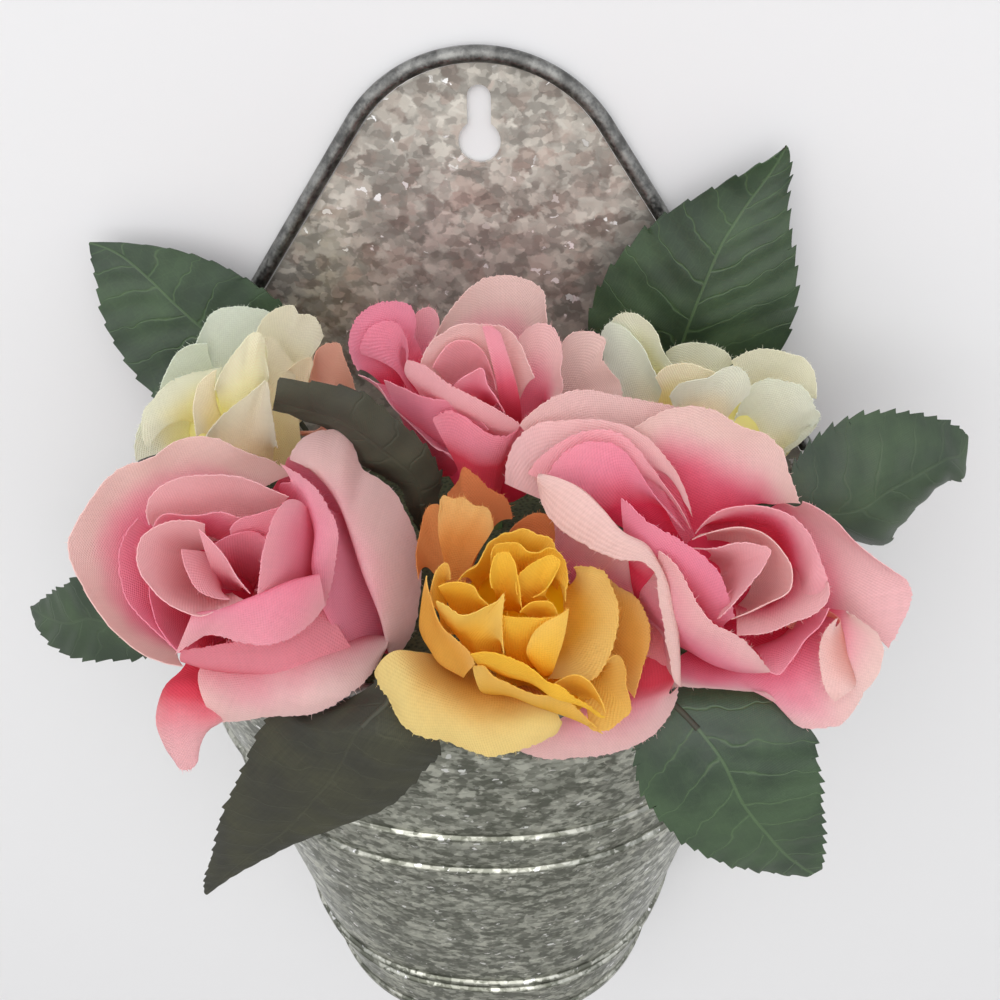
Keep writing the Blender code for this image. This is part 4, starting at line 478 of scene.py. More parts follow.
def dry_foam():
    """Dark green foam with fine pores and paler patches."""
    made, tree, shader = new_material("dry_foam")
    place = add_node(tree, "TexCoord").outputs["Object"]
    pore = add_node(tree, "TexVoronoi", {"Vector": place, "Scale": 900.0}).outputs["Distance"]
    patch = add_node(tree, "TexNoise", {"Vector": place, "Scale": 90.0, "Detail": 4.0}).outputs[0]
    share = calc(tree, "MULTIPLY", rise(tree, pore, 0.1, 0.6), patch)
    tree.links.new(blend_colours(tree, share, (44, 50, 34), (96, 100, 70)), shader.inputs["Base Color"])
    bump = add_node(tree, "Bump", {"Height": pore, "Strength": 0.6, "Distance": 0.0006})
    tree.links.new(bump.outputs[0], shader.inputs["Normal"])
    shader.inputs["Roughness"].default_value = 0.95
    return made


finish_solid("foam_block", dry_foam())

# The stems
# Each stem is wire wrapped in green paper tape, which winds up it and widens into the calyx. It
# stands in its own hole in the foam, and the rose is glued on its upper end.


def green_tape():
    """Green crepe paper with the turns of its winding."""
    made, tree, shader = new_material("green_tape")
    place = add_node(tree, "TexCoord").outputs["Object"]
    wound = add_node(tree, "TexWave", {"Vector": place, "Scale": 70.0, "Distortion": 3.0,
                                       "Detail": 2.0}, bands_direction="Z").outputs[1]
    crepe = add_node(tree, "TexNoise", {"Vector": place, "Scale": 800.0, "Detail": 3.0}).outputs[0]
    share = calc(tree, "MULTIPLY_ADD", wound, 0.4, calc(tree, "MULTIPLY", crepe, 0.6))
    tree.links.new(blend_colours(tree, share, (62, 92, 48), (112, 140, 82)), shader.inputs["Base Color"])
    bump = add_node(tree, "Bump", {"Height": share, "Strength": 0.4, "Distance": 0.0003})
    tree.links.new(bump.outputs[0], shader.inputs["Normal"])
    shader.inputs["Roughness"].default_value = 0.7
    return made


TAPE = green_tape()
for label in ("left", "right", "top", "yellow", "cream_left", "cream_right"):
    finish_solid("stem_" + label, TAPE)

# The leaves
# Each leaf is stamped from printed cloth with a sawtooth edge, embossed with veins, and glued to a
# thin wire stalk that runs under its midrib. The back is a duller cloth with its threads showing.
# From here on lengths are mm.
LEAF_THICKNESS, STALK_RADIUS = 0.35, 0.75
VEIN_SPACING, VEIN_SLANT, VEIN_BEND = 8.5, 0.75, 0.01
STALK_FOOT, FOAM_TOP = -151.0, -105.2


def curve(points, share):
    """Points and directions on a smooth line through a few given points.

    A cubic Hermite curve whose tangents are weighted by the spacing of the points.
    """
    points = np.asarray(points, float)
    knots = np.concatenate([[0.0], np.cumsum(np.linalg.norm(np.diff(points, axis=0), axis=1))])
    knots /= knots[-1]
    spans = np.diff(knots)
    slopes = np.diff(points, axis=0) / spans[:, None]
    if len(points) == 2:
        tangents = np.vstack([slopes, slopes])
    else:
        inner = (slopes[:-1] * spans[1:, None] + slopes[1:] * spans[:-1, None])
        inner /= (spans[:-1] + spans[1:])[:, None]
        tangents = np.vstack([2 * slopes[0] - inner[0], inner, 2 * slopes[-1] - inner[-1]])
    share = np.asarray(share, float)
    index = np.clip(np.searchsorted(knots, share, side="right") - 1, 0, len(spans) - 1)
    span = spans[index][..., None]
    t = ((share - knots[index]) / spans[index])[..., None]
    p0, p1, m0, m1 = points[index], points[index + 1], tangents[index], tangents[index + 1]
    place = (2 * t**3 - 3 * t**2 + 1) * p0 + (t**3 - 2 * t**2 + t) * span * m0
    place = place + (3 * t**2 - 2 * t**3) * p1 + (t**3 - t**2) * span * m1
    onward = (6 * t**2 - 6 * t) * (p0 - p1) + (3 * t**2 - 4 * t + 1) * span * m0
    onward = onward + (3 * t**2 - 2 * t) * span * m1
    return place, onward / np.linalg.norm(onward, axis=-1, keepdims=True)


def skin(rows, columns, steps):
    """A grid of points through a few lines across a leaf or petal, each a few points in mm.

    Each line is a Hermite curve, and so is each line along the petal, with shared knots.
    """
    lines = np.stack([curve(row, np.linspace(0, 1, columns))[0] for row in rows])
    gaps = np.linalg.norm(np.diff(lines, axis=0), axis=-1).mean(1)
    knots = np.concatenate([[0], np.cumsum(gaps)]) / gaps.sum()
    spans = np.diff(knots)
    slopes = np.diff(lines, axis=0) / spans[:, None, None]
    before, after = spans[:-1, None, None], spans[1:, None, None]
    inner = (slopes[:-1] * after + slopes[1:] * before) / (before + after)
    tangents = np.concatenate([2 * slopes[:1] - inner[:1], inner, 2 * slopes[-1:] - inner[-1:]])
    share = np.linspace(0, 1, steps)
    index = np.clip(np.searchsorted(knots, share, side="right") - 1, 0, len(spans) - 1)
    span, t = spans[index][:, None, None], ((share - knots[index]) / spans[index])[:, None, None]
    p0, p1, m0, m1 = lines[index], lines[index + 1], tangents[index], tangents[index + 1]
    place = (2 * t**3 - 3 * t**2 + 1) * p0 + (t**3 - 2 * t**2 + t) * span * m0
    return place + (3 * t**2 - 2 * t**3) * p1 + (t**3 - t**2) * span * m1


def leaf_grid(rows, teeth, columns=33, steps=8, puff=0.5, bite=1.3, seed=1):
    """A leaf's middle surface in mm, with the signed reach from the midrib and the way along it.

    The blade is a skin through its lines. Each tooth widens the edge evenly and then drops back.
    Side veins leave the midrib every VEIN_SPACING mm, and the blade between them is puffed up.
    """
    grid = skin(rows, columns, teeth * steps + 1)
    middle, u = columns // 2, np.linspace(-1, 1, columns)
    side, onward = np.gradient(grid, axis=1), np.gradient(grid, axis=0)
    side /= np.linalg.norm(side, axis=-1, keepdims=True)
    onward /= np.linalg.norm(onward, axis=-1, keepdims=True)
    front = np.cross(side, onward)
    reach = np.cumsum(np.linalg.norm(np.diff(grid, axis=1, prepend=grid[:, :1]), axis=-1), axis=1)
    reach -= reach[:, middle:middle + 1]
    along = np.linalg.norm(np.diff(grid[:, middle], axis=0, prepend=grid[:1, middle]), axis=1)
    along = np.cumsum(along)[:, None]
    saw = (np.arange(len(grid)) % steps) / (steps - 1)
    depth = np.repeat(np.random.default_rng(seed).uniform(0.6, 1.1, teeth + 1), steps)[:len(grid)]
    small = np.clip((reach[:, -1] - reach[:, 0]) / 12, 0, 1)
    tooth = (saw ** 1.3 * depth * bite * small)[:, None] * np.abs(u) ** 12
    way = (along - VEIN_SLANT * np.abs(reach) + VEIN_BEND * reach**2) / VEIN_SPACING + 0.5 * (u > 0)
    lift = 0.8 * puff * np.sin(np.pi * way) ** 2 * np.minimum(1, np.abs(reach) / 4)
    lift = lift + 0.35 * np.sin(along / 6 + 2 * np.sign(u) + seed) * u**2 * small[:, None]
    grid = grid + side * (np.sign(u) * tooth)[..., None] + onward * (0.9 * tooth)[..., None]
    grid = grid + front * lift[..., None]
    return grid, reach + np.sign(u) * tooth, np.broadcast_to(along, reach.shape)


def leaf_veins():
    """Vein lines: a midrib, side veins that branch from it, and a faint net between them."""
    group, given, made = node_group(
        "leaf_veins", {"Way": ("vector", (0, 0, 0)), "Spacing": ("value", VEIN_SPACING / 1000)},
        {"Veins": "value", "Net": "value"})
    rag = add_node(group, "TexNoise", {"Vector": given["Way"], "Scale": 130.0, "Detail": 2.0})
    shift = add_node(group, "VectorMath", {0: rag.outputs["Color"], 1: (0.5, 0.5, 0.5)},
                     operation="SUBTRACT")
    way = add_node(group, "VectorMath", {0: shift.outputs[0], 1: (0.005, 0.005, 0.0),
                                         2: given["Way"]}, operation="MULTIPLY_ADD")
    parts = add_node(group, "SeparateXYZ", {0: way.outputs[0]}).outputs
    reach = calc(group, "ABSOLUTE", parts[0])
    other = calc(group, "MULTIPLY", calc(group, "GREATER_THAN", parts[0], 0.0), 0.5)
    bend = calc(group, "MULTIPLY", calc(group, "MULTIPLY", reach, reach), VEIN_BEND * 1000)
    slanted = calc(group, "MULTIPLY_ADD", reach, -VEIN_SLANT, calc(group, "ADD", parts[1], bend))
    turns = calc(group, "ADD", calc(group, "DIVIDE", slanted, given["Spacing"]), other)
    near = calc(group, "ABSOLUTE", calc(group, "SUBTRACT", calc(group, "FRACT", turns), 0.5))
    thin = rise(group, reach, 0.0, 0.018, 0.055, 0.022)
    line = calc(group, "SUBTRACT", 1.0, calc(group, "DIVIDE", near, thin))
    own = add_node(group, "SeparateXYZ", {0: given["Way"]}).outputs
    midrib = rise(group, calc(group, "ABSOLUTE", own[0]), 0.0005, 0.0002)
    both = calc(group, "MAXIMUM", calc(group, "MAXIMUM", line, 0.0), midrib)
    group.links.new(both, made["Veins"])
    net = add_node(group, "TexVoronoi", {"Vector": way.outputs[0], "Scale": 260.0},
                   feature="DISTANCE_TO_EDGE").outputs["Distance"]
    group.links.new(rise(group, net, 0.07, 0.02), made["Net"])
    return group


LEAF_VEINS = leaf_veins()


def weave_threads():
    """Crossed threads: two sets of ridges at right angles that pass over and under each other."""
    group, given, made = node_group(
        "weave_threads", {"Cloth": ("vector", (0, 0, 0)), "Pitch": ("value", 0.0004),
                          "Turn": ("value", 0.6)}, {"Threads": "value", "Slub": "value"})
    turned = add_node(group, "VectorRotate", {"Vector": given["Cloth"], "Angle": given["Turn"]},
                      rotation_type="Z_AXIS").outputs[0]
    parts = add_node(group, "SeparateXYZ", {0: turned}).outputs
    turns = calc(group, "DIVIDE", 2 * math.pi, given["Pitch"])
    first = calc(group, "SINE", calc(group, "MULTIPLY", parts[0], turns))
    second = calc(group, "SINE", calc(group, "MULTIPLY", parts[1], turns))
    group.links.new(calc(group, "MULTIPLY", first, second), made["Threads"])
    wide = add_node(group, "VectorMath", {0: turned, 1: (1900.0, 90.0, 1.0)}, operation="MULTIPLY")
    tall = add_node(group, "VectorMath", {0: turned, 1: (90.0, 1900.0, 1.0)}, operation="MULTIPLY")
    warp = add_node(group, "TexNoise", {"Vector": wide.outputs[0], "Scale": 1.0, "Detail": 1.0})
    weft = add_node(group, "TexNoise", {"Vector": tall.outputs[0], "Scale": 1.0, "Detail": 1.0})
    group.links.new(calc(group, "ADD", warp.outputs[0], weft.outputs[0]), made["Slub"])
    return group


WEAVE_THREADS = weave_threads()


def leaf_cloth(name, dark, light, vein, vein_share, thread_share, rough):
    """Printed leaf cloth: mottled green, pale veins and the cloth's own threads."""
    made, tree, shader = new_material(name)
    way = add_node(tree, "UVMap", uv_map="way").outputs[0]
    place = add_node(tree, "TexCoord").outputs["Object"]
    veins = use_group(tree, LEAF_VEINS, {"Way": way})
    threads = use_group(tree, WEAVE_THREADS, {"Cloth": way, "Pitch": 0.00045, "Turn": 0.1})
    patch = add_node(tree, "TexNoise", {"Vector": place, "Scale": 70.0, "Detail": 5.0}).outputs[0]
    tone = rise(tree, patch, 0.3, 0.75)
    base = blend_colours(tree, tone, dark, light)
    shade = calc(tree, "MULTIPLY_ADD", threads["Slub"], 0.6, calc(tree, "MULTIPLY", threads["Threads"], 0.2))
    shade = rise(tree, shade, 0.2, 1.0, 1.0 - thread_share, 1.0 + thread_share)
    grey = add_node(tree, "CombineColor", {0: shade, 1: shade, 2: shade}).outputs[0]
    base = blend_colours(tree, 1.0, base, grey, "MULTIPLY")
    seen = calc(tree, "MULTIPLY_ADD", veins["Net"], 0.12, veins["Veins"])
    seen = calc(tree, "MULTIPLY", calc(tree, "MINIMUM", seen, 1.0), vein_share)
    tree.links.new(blend_colours(tree, seen, base, vein), shader.inputs["Base Color"])
    ridges = calc(tree, "MULTIPLY", threads["Threads"], 0.12)
    height = calc(tree, "MULTIPLY_ADD", veins["Veins"], -1.0, ridges)
    bump = add_node(tree, "Bump", {"Height": height, "Strength": 0.32, "Distance": 0.0004})
    tree.links.new(bump.outputs[0], shader.inputs["Normal"])
    tree.links.new(rise(tree, patch, 0.3, 0.7, rough - 0.06, rough + 0.08), shader.inputs["Roughness"])
    return made


LEAF_FACE = leaf_cloth("leaf_face", (35, 52, 35), (58, 79, 52), (92, 118, 76), 0.35, 0.10, 0.5)
LEAF_SOFT = leaf_cloth("leaf_soft", (37, 53, 35), (60, 79, 52), (86, 104, 72), 0.15, 0.10, 0.5)
LEAF_DARK = leaf_cloth("leaf_dark", (50, 49, 38), (68, 68, 52), (84, 88, 66), 0.05, 0.10, 0.7)
LEAF_BACK = leaf_cloth("leaf_back", (40, 40, 29), (58, 58, 40), (90, 92, 68), 0.1, 0.26, 0.75)


def wire_path(hole, stalk, midrib):
    """The stalk's middle line from inside the foam, up and on under the leaf's midrib, in mm."""
    rise_line, _ = curve([(*hole, FOAM_TOP), *stalk, midrib[0]], np.linspace(0, 1, 32))
    return np.vstack([(*hole, STALK_FOOT), rise_line, midrib[1:]])


def make_leaf(label, hole, stalk, rows, teeth, front, back, **shape):
    """One leaf in place of the solid one. Its front is the side seen, and its stalk is dark tape."""
    grid, reach, along = leaf_grid(rows, teeth, **shape)
    points, quads, _ = sheet_parts(grid, LEAF_THICKNESS)
    way = np.tile(np.stack([reach, along], -1).reshape(-1, 2), (2, 1)) / 1000
    count = (grid.shape[0] - 1) * (grid.shape[1] - 1)
    slots = np.repeat([0, 1, 0], [count, count, len(quads) - 2 * count])
    midrib = grid[[0, 6, 14, 24], grid.shape[1] // 2]
    wire, wire_quads = tube_quads(wire_path(hole, stalk, midrib), STALK_RADIUS, 8)
    quads = np.concatenate([quads, wire_quads + len(points)])
    slots = np.concatenate([slots, np.full(len(wire_quads), 2)])
    way = np.concatenate([way, np.zeros((len(wire), 2))])
    points = np.concatenate([points, wire]) / 1000
    piece = make_piece("cloth_leaf_" + label, points, quads, [front, back, LEAF_DARK], slots,
                       maps={"way": way}, crease=60)
    weld(piece)
    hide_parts("leaf_" + label)


make_leaf("upper_left", (-40, -20), [(-46, -19, -84)], [
    [(-61.5, -17, -68.5), (-60, -17, -67), (-58.5, -17, -66)],
    [(-82, -19, -76.5), (-71, -15, -57.5), (-48.5, -17, -50)],
    [(-92.5, -17, -65), (-79, -14, -50), (-58, -15, -42)],
    [(-97, -15, -53.5), (-86.5, -12.5, -44), (-69, -13, -37.5)],
    [(-98, -12, -43), (-93.5, -11, -38.5), (-83.5, -11, -35)],
    [(-99.5, -9, -36), (-99.5, -9, -35.5), (-99, -9, -35.5)],
], 14, LEAF_FACE, LEAF_BACK, seed=2)
make_leaf("upper_right", (36, -16), [(41, -17, -86)], [
    [(44.5, -15, -69.5), (46, -15, -70), (47.5, -15, -69)],
    [(28.5, -15, -58), (49.5, -13, -59.5), (74, -14, -62.5)],
    [(29.5, -15, -45), (53, -14, -50), (78, -15, -49)],
    [(35.5, -15, -33.5), (57, -14, -41), (77.5, -15, -38)],
    [(44.5, -13, -24.5), (61.5, -13, -31), (75, -14, -28)],
    [(56, -12, -18), (65.5, -11, -21.5), (73.5, -12, -19)],
    [(65.5, -12, -12.5), (70, -10.5, -13.5), (73.5, -11, -12.5)],
    [(72, -11, -8), (72, -11, -7.5), (72.5, -11, -8)],
], 15, LEAF_FACE, LEAF_BACK, seed=3)
make_leaf("right", (66, -44), [(69, -54, -91)], [
    [(73.5, -62, -72), (74, -63, -72.5), (75, -62, -74.5)],
    [(76, -57, -64.5), (82, -62, -73.5), (90.5, -56, -85.5)],
    [(81.5, -52, -60.5), (90.5, -60, -74), (100, -52, -90)],
    [(88.5, -49, -57.5), (98, -57, -74), (103.5, -50, -86.5)],
    [(97.5, -46, -58), (105, -54, -73), (108, -49, -80)],
    [(107, -44, -60), (112, -50, -71), (112.5, -48, -74)],
    [(113.5, -43, -62.5), (116, -46, -70), (117, -45, -74)],
    [(116, -43, -64), (117, -43, -65), (117, -43, -66)],
], 17, LEAF_SOFT, LEAF_BACK, seed=4)
make_leaf("lower_right", (32, -76), [(40, -94, -92)], [
    [(47.5, -98.5, -97.5), (46.5, -99, -98.5), (45.5, -99.5, -99)],
    [(61.5, -97, -96), (53.5, -104, -101), (41.5, -104.5, -107)],
    [(75.5, -103.5, -99.5), (60, -108, -107), (42.5, -108, -117)],
    [(79, -106.5, -109), (67, -109.5, -116), (49, -109.5, -127.5)],
    [(81.5, -107.5, -120.5), (74, -108.5, -127.5), (59.5, -108.5, -137.5)],
    [(84.5, -104.5, -137), (81, -105, -139.5), (72.5, -104.5, -147)],
    [(86, -102, -148.5), (85, -102.5, -149), (83.5, -102, -151)],
], 19, LEAF_FACE, LEAF_BACK, seed=5)
make_leaf("lower_left", (-14, -76), [(-10, -97, -93)], [
    [(-7.5, -104, -87.5), (-9, -104, -87.5), (-10, -104, -87)],
    [(-3, -109.5, -93), (-10.5, -109.5, -92.5), (-16.5, -105.5, -94.5)],
    [(-0.5, -113, -100.5), (-16, -114.5, -97), (-27.5, -103, -103)],
    [(-4, -112, -110), (-25, -110.5, -112.5), (-39, -102, -107.5)],
    [(-11.5, -109, -124), (-33.5, -108.5, -125.5), (-47, -101.5, -123)],
    [(-23.5, -105, -136.5), (-43, -104.5, -141), (-54, -99, -139)],
    [(-41, -100, -152.5), (-53, -99.5, -158.5), (-62, -94, -161.5)],
    [(-69.5, -88, -188.5), (-70, -88, -189), (-70.5, -88, -188)],
], 22, LEAF_BACK, LEAF_FACE, bite=1.0, seed=6)
make_leaf("small_left", (-60, -38), [(-66, -48, -92), (-79, -60, -90.5), (-86, -70, -103)], [
    [(-80.5, -66, -121), (-80.5, -66, -119), (-80.5, -66, -117)],
    [(-85, -64, -125.5), (-89, -64, -117), (-90.5, -62, -105)],
    [(-95.5, -62, -128.5), (-97, -61, -117.5), (-97, -59, -104)],
    [(-107, -58, -131.5), (-105.5, -57, -119), (-105, -55, -111)],
    [(-116.5, -52, -130), (-114, -51, -122.5), (-113, -50, -118.5)],
    [(-121, -46, -126.5), (-121, -46, -125.5), (-120.5, -46, -125.5)],
], 12, LEAF_SOFT, LEAF_BACK, seed=7)
make_leaf("curled", (-14, -44), [(-12, -52, -98)], [
    [(-10.5, -58, -88), (-9, -58, -88.5), (-8.5, -58, -88)],
    [(-12, -61, -79.5), (-9, -62, -77.5), (-6, -61, -76.5)],
    [(-14.5, -62, -71), (-10, -65, -66), (-5.5, -62, -66.5)],
    [(-22, -64, -64.5), (-14.5, -68, -56.5), (-9.5, -65, -56)],
    [(-25, -62, -60), (-19, -70, -49.5), (-14.5, -68, -49)],
    [(-29.5, -60, -57.5), (-22, -71, -44.5), (-19, -70, -43)],
    [(-35.5, -60, -55), (-28.5, -71, -43.5), (-25, -71, -40.5)],
    [(-40.5, -66, -49.5), (-38, -71, -43), (-37, -71, -39.5)],
], 14, LEAF_DARK, LEAF_BACK, bite=1.1, seed=8)

# The roses
# A rose is a spiral of woven petals, cut out, pressed into shape and glued round a wire. They are
# dyed deep in the heart and fade to pale, slightly frayed edges.
# Every rose turns its face to one point in front of the wall.
FACING_POINT = np.array([26.9, -290.0, 81.5])
PETAL_THICKNESS, FRAY, LOOSE_ENDS, LONGEST_END = 0.22, 0.14, 40, 1.0
CORE_HEIGHTS = np.array([-6.5, -6.0, -3.5, 1.5, 6.5, 10.5])
CORE_RADII = np.array([1.0, 7.8, 12.8, 12.3, 8.3, 1.0])


def crumple(grid, draw, amount, fray):
    """Moves a petal along its normals by soft creases that fan from its root, and frays its rim."""
    rows, columns = grid.shape[:2]
    normal = np.cross(np.gradient(grid, axis=1), np.gradient(grid, axis=0))
    normal /= np.linalg.norm(normal, axis=-1, keepdims=True) + 1e-12
    u, v = np.meshgrid(np.linspace(-1, 1, columns), np.linspace(0, 1, rows))
    lift = np.zeros_like(u)
    for _ in range(5):
        turns, lean, start = draw.uniform(2, 9), draw.uniform(-2, 2), draw.uniform(0, 6.3)
        lift += draw.uniform(0.2, 1) / turns * np.sin(turns * u + lean * v + start)
    for _ in range(4):
        turns, lean, start = draw.uniform(-6, 6), draw.uniform(3, 9), draw.uniform(0, 6.3)
        lift += 0.12 * np.sin(turns * u + lean * v + start)
    reach = np.linalg.norm(np.diff(grid[-1], axis=0), axis=1).sum()
    lift = lift * amount * min(1.0, reach / 40) * np.minimum(1, v * 2.5) * (0.5 + v)
    onward = np.gradient(grid, axis=0)
    onward /= np.linalg.norm(onward, axis=-1, keepdims=True) + 1e-12
    fray = min(fray, 0.3 * reach / columns)
    jag = draw.normal(0, fray, (rows, columns)) * (v > 0.999)
    return grid + normal * lift[..., None] + onward * jag[..., None]


def loose_threads(grid, draw, count, longest):
    """Short ends of thread along the rim: thin three-sided spikes that point past the edge."""
    rows, columns = grid.shape[:2]
    at = draw.integers(1, columns - 1, count)
    start = grid[-1, at]
    out = grid[-1, at] - grid[-3, at]
    out /= np.linalg.norm(out, axis=1, keepdims=True) + 1e-12
    along = grid[-1, at] - grid[-1, at - 1]
    along /= np.linalg.norm(along, axis=1, keepdims=True) + 1e-12
    normal = np.cross(along, out)
    heading = out + along * draw.normal(0, 0.5, (count, 1)) + normal * draw.normal(0, 0.4, (count, 1))
    length = draw.uniform(0.3, 1, (count, 1)) ** 2 * longest
    tip = start + heading * length
    half = 0.05
    corners = [start - along * half, start + along * half, start + normal * half * 1.6]
    points = np.stack([*(corner - out * 0.2 for corner in corners), tip, tip, tip], 1)
    points[:, 3:] += 0.012 * np.stack([-along, along, normal], 1)
    base = np.array([[0, 1, 4, 3], [1, 2, 5, 4], [2, 0, 3, 5]])
    quads = (base[None] + 6 * np.arange(count)[:, None, None]).reshape(-1, 4)
    return points.reshape(-1, 3), quads


def bloom_axes(centre):
    """Axes of a rose in rows: x to its right, y to its top, z out of its face to the viewer."""
    face = FACING_POINT - centre
    face /= np.linalg.norm(face)
    top = np.array([0.045, 0.563, 0.825])
    top -= face * top.dot(face)
    top /= np.linalg.norm(top)
    return np.stack([np.cross(top, face), top, face])


def rose_cloth(name, heart, middle, edge, tan):
    """Dyed petal cloth: heart, middle and edge colours along each petal, by its own dye values.

    The attribute holds how deep its root is, how pale its rim is, where along it the pale part
    starts, and its share of tan. Where a petal lies in shadow, its depth is raised past the cloth's
    own dye, so the heart colour there is partly painted shade.
    """
    made, tree, shader = new_material(name)
    share = add_node(tree, "UVMap", uv_map="petal").outputs[0]
    share = add_node(tree, "SeparateXYZ", {0: share}).outputs
    cloth = add_node(tree, "UVMap", uv_map="cloth").outputs[0]
    given = add_node(tree, "Attribute", attribute_name="dye_and_shade").outputs
    dye_and_shade = add_node(tree, "SeparateColor", {0: given["Color"]}).outputs
    place = add_node(tree, "TexCoord").outputs["Object"]
    patch = add_node(tree, "TexNoise", {"Vector": place, "Scale": 60.0, "Detail": 3.0}).outputs[0]
    way = calc(tree, "MULTIPLY_ADD", calc(tree, "SUBTRACT", patch, 0.5), 0.35, share[1])
    off = calc(tree, "ABSOLUTE", calc(tree, "MULTIPLY_ADD", share[0], 2.0, -1.0))
    deep = calc(tree, "MULTIPLY", rise(tree, way, 0.9, 0.25), dye_and_shade[0])
    base = blend_colours(tree, calc(tree, "MINIMUM", deep, 1.0), middle, heart)
    base = blend_colours(tree, given["Alpha"], base, tan)
    rim = calc(tree, "MULTIPLY_ADD", calc(tree, "POWER", off, 4.0), 0.12, way)
    pale = rise(tree, calc(tree, "SUBTRACT", rim, dye_and_shade[2]), 0.0, 0.42)
    pale = calc(tree, "MINIMUM", calc(tree, "MULTIPLY", pale, dye_and_shade[1]), 1.0)
    base = blend_colours(tree, pale, base, edge)
    threads = use_group(tree, WEAVE_THREADS, {"Cloth": cloth, "Pitch": 0.00075, "Turn": 0.0})
    shade = calc(tree, "MULTIPLY", threads["Slub"], 0.16)
    shade = calc(tree, "MULTIPLY_ADD", threads["Threads"], 0.09, calc(tree, "ADD", shade, 0.86))
    grey = add_node(tree, "CombineColor", {0: shade, 1: shade, 2: shade}).outputs[0]
    woven = blend_colours(tree, 1.0, base, grey, "MULTIPLY")
    tree.links.new(woven, shader.inputs["Base Color"])
    height = calc(tree, "MULTIPLY_ADD", threads["Slub"], 0.8, threads["Threads"])
    bump = add_node(tree, "Bump", {"Height": height, "Strength": 0.6, "Distance": 0.0002})
    tree.links.new(bump.outputs[0], shader.inputs["Normal"])
    shader.inputs["Roughness"].default_value = 0.85
    shader.inputs["Specular IOR Level"].default_value = 0.2
    through = add_node(tree, "BsdfTranslucent", {0: base})
    mix = add_node(tree, "MixShader", {0: 0.55, 1: shader.outputs[0], 2: through.outputs[0]})
    tree.links.new(mix.outputs[0], tree.nodes["Material Output"].inputs[0])
    return made


def make_rose(label, centre, size, petals, finish, seed, columns=81, steps=25, amount=0.7):
    """A rose in place of the solid one: every petal is a thin closed sheet on a small core.

    A petal is given by its lines from root to rim, each a few points (x, y, z) in mm from the
    rose's centre, z out of its face, and by its dye values, which for a petal in shadow also hold
    painted shade.
    """
    draw = np.random.default_rng(seed)
    centre = np.asarray(centre, float)
    axes = bloom_axes(centre)
    points, quads, petal_map, cloth_map, dye_and_shade_rows, total = [], [], [], [], [], 0

    def add(more, faces, share, cloth, dye_and_shade):
        nonlocal total
        points.append(more)
        quads.append(faces + total)
        petal_map.append(share)
        cloth_map.append(cloth)
        dye_and_shade_rows.append(np.tile(dye_and_shade, (len(more), 1)))
        total += len(more)

    for rows, dye_and_shade in petals:
        grid = crumple(skin(rows, columns, steps), draw, amount, FRAY) * size @ axes + centre
        more, faces, share = sheet_parts(grid, PETAL_THICKNESS)
        across = np.linalg.norm(np.diff(grid, axis=1), axis=-1)
        across = np.concatenate([np.zeros((steps, 1)), np.cumsum(across, axis=1)], 1)
        across -= across[:, columns // 2:columns // 2 + 1]
        down = np.linalg.norm(np.diff(grid[:, columns // 2], axis=0), axis=-1)
        down = np.broadcast_to(np.r_[0, np.cumsum(down)][:, None], across.shape)
        lay = draw.uniform(0, math.pi)
        turned = np.array([[math.cos(lay), math.sin(lay)], [-math.sin(lay), math.cos(lay)]])
        cloth = np.tile(np.stack([across, down], -1).reshape(-1, 2) @ turned, (2, 1)) / 1000
        add(more, faces, share, cloth, dye_and_shade)
        spikes, faces = loose_threads(grid, draw, LOOSE_ENDS, LONGEST_END)
        add(spikes, faces, np.tile((0.5, 1.0), (len(spikes), 1)), np.zeros((len(spikes), 2)), dye_and_shade)
    core_line = np.stack([0 * CORE_HEIGHTS, 0 * CORE_HEIGHTS, CORE_HEIGHTS], 1)
    core, faces = tube_quads(core_line * size @ axes + centre, CORE_RADII * size, 24)
    add(core, faces, np.zeros((len(core), 2)), np.zeros((len(core), 2)), (1.0, 0.0, 0.9, 0.0))
    piece = make_piece("cloth_rose_" + label, np.concatenate(points) / 1000, np.concatenate(quads),
                       [finish], values={"dye_and_shade": np.concatenate(dye_and_shade_rows)}, crease=70,
                       maps={"petal": np.concatenate(petal_map), "cloth": np.concatenate(cloth_map)})
    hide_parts("rose_" + label)


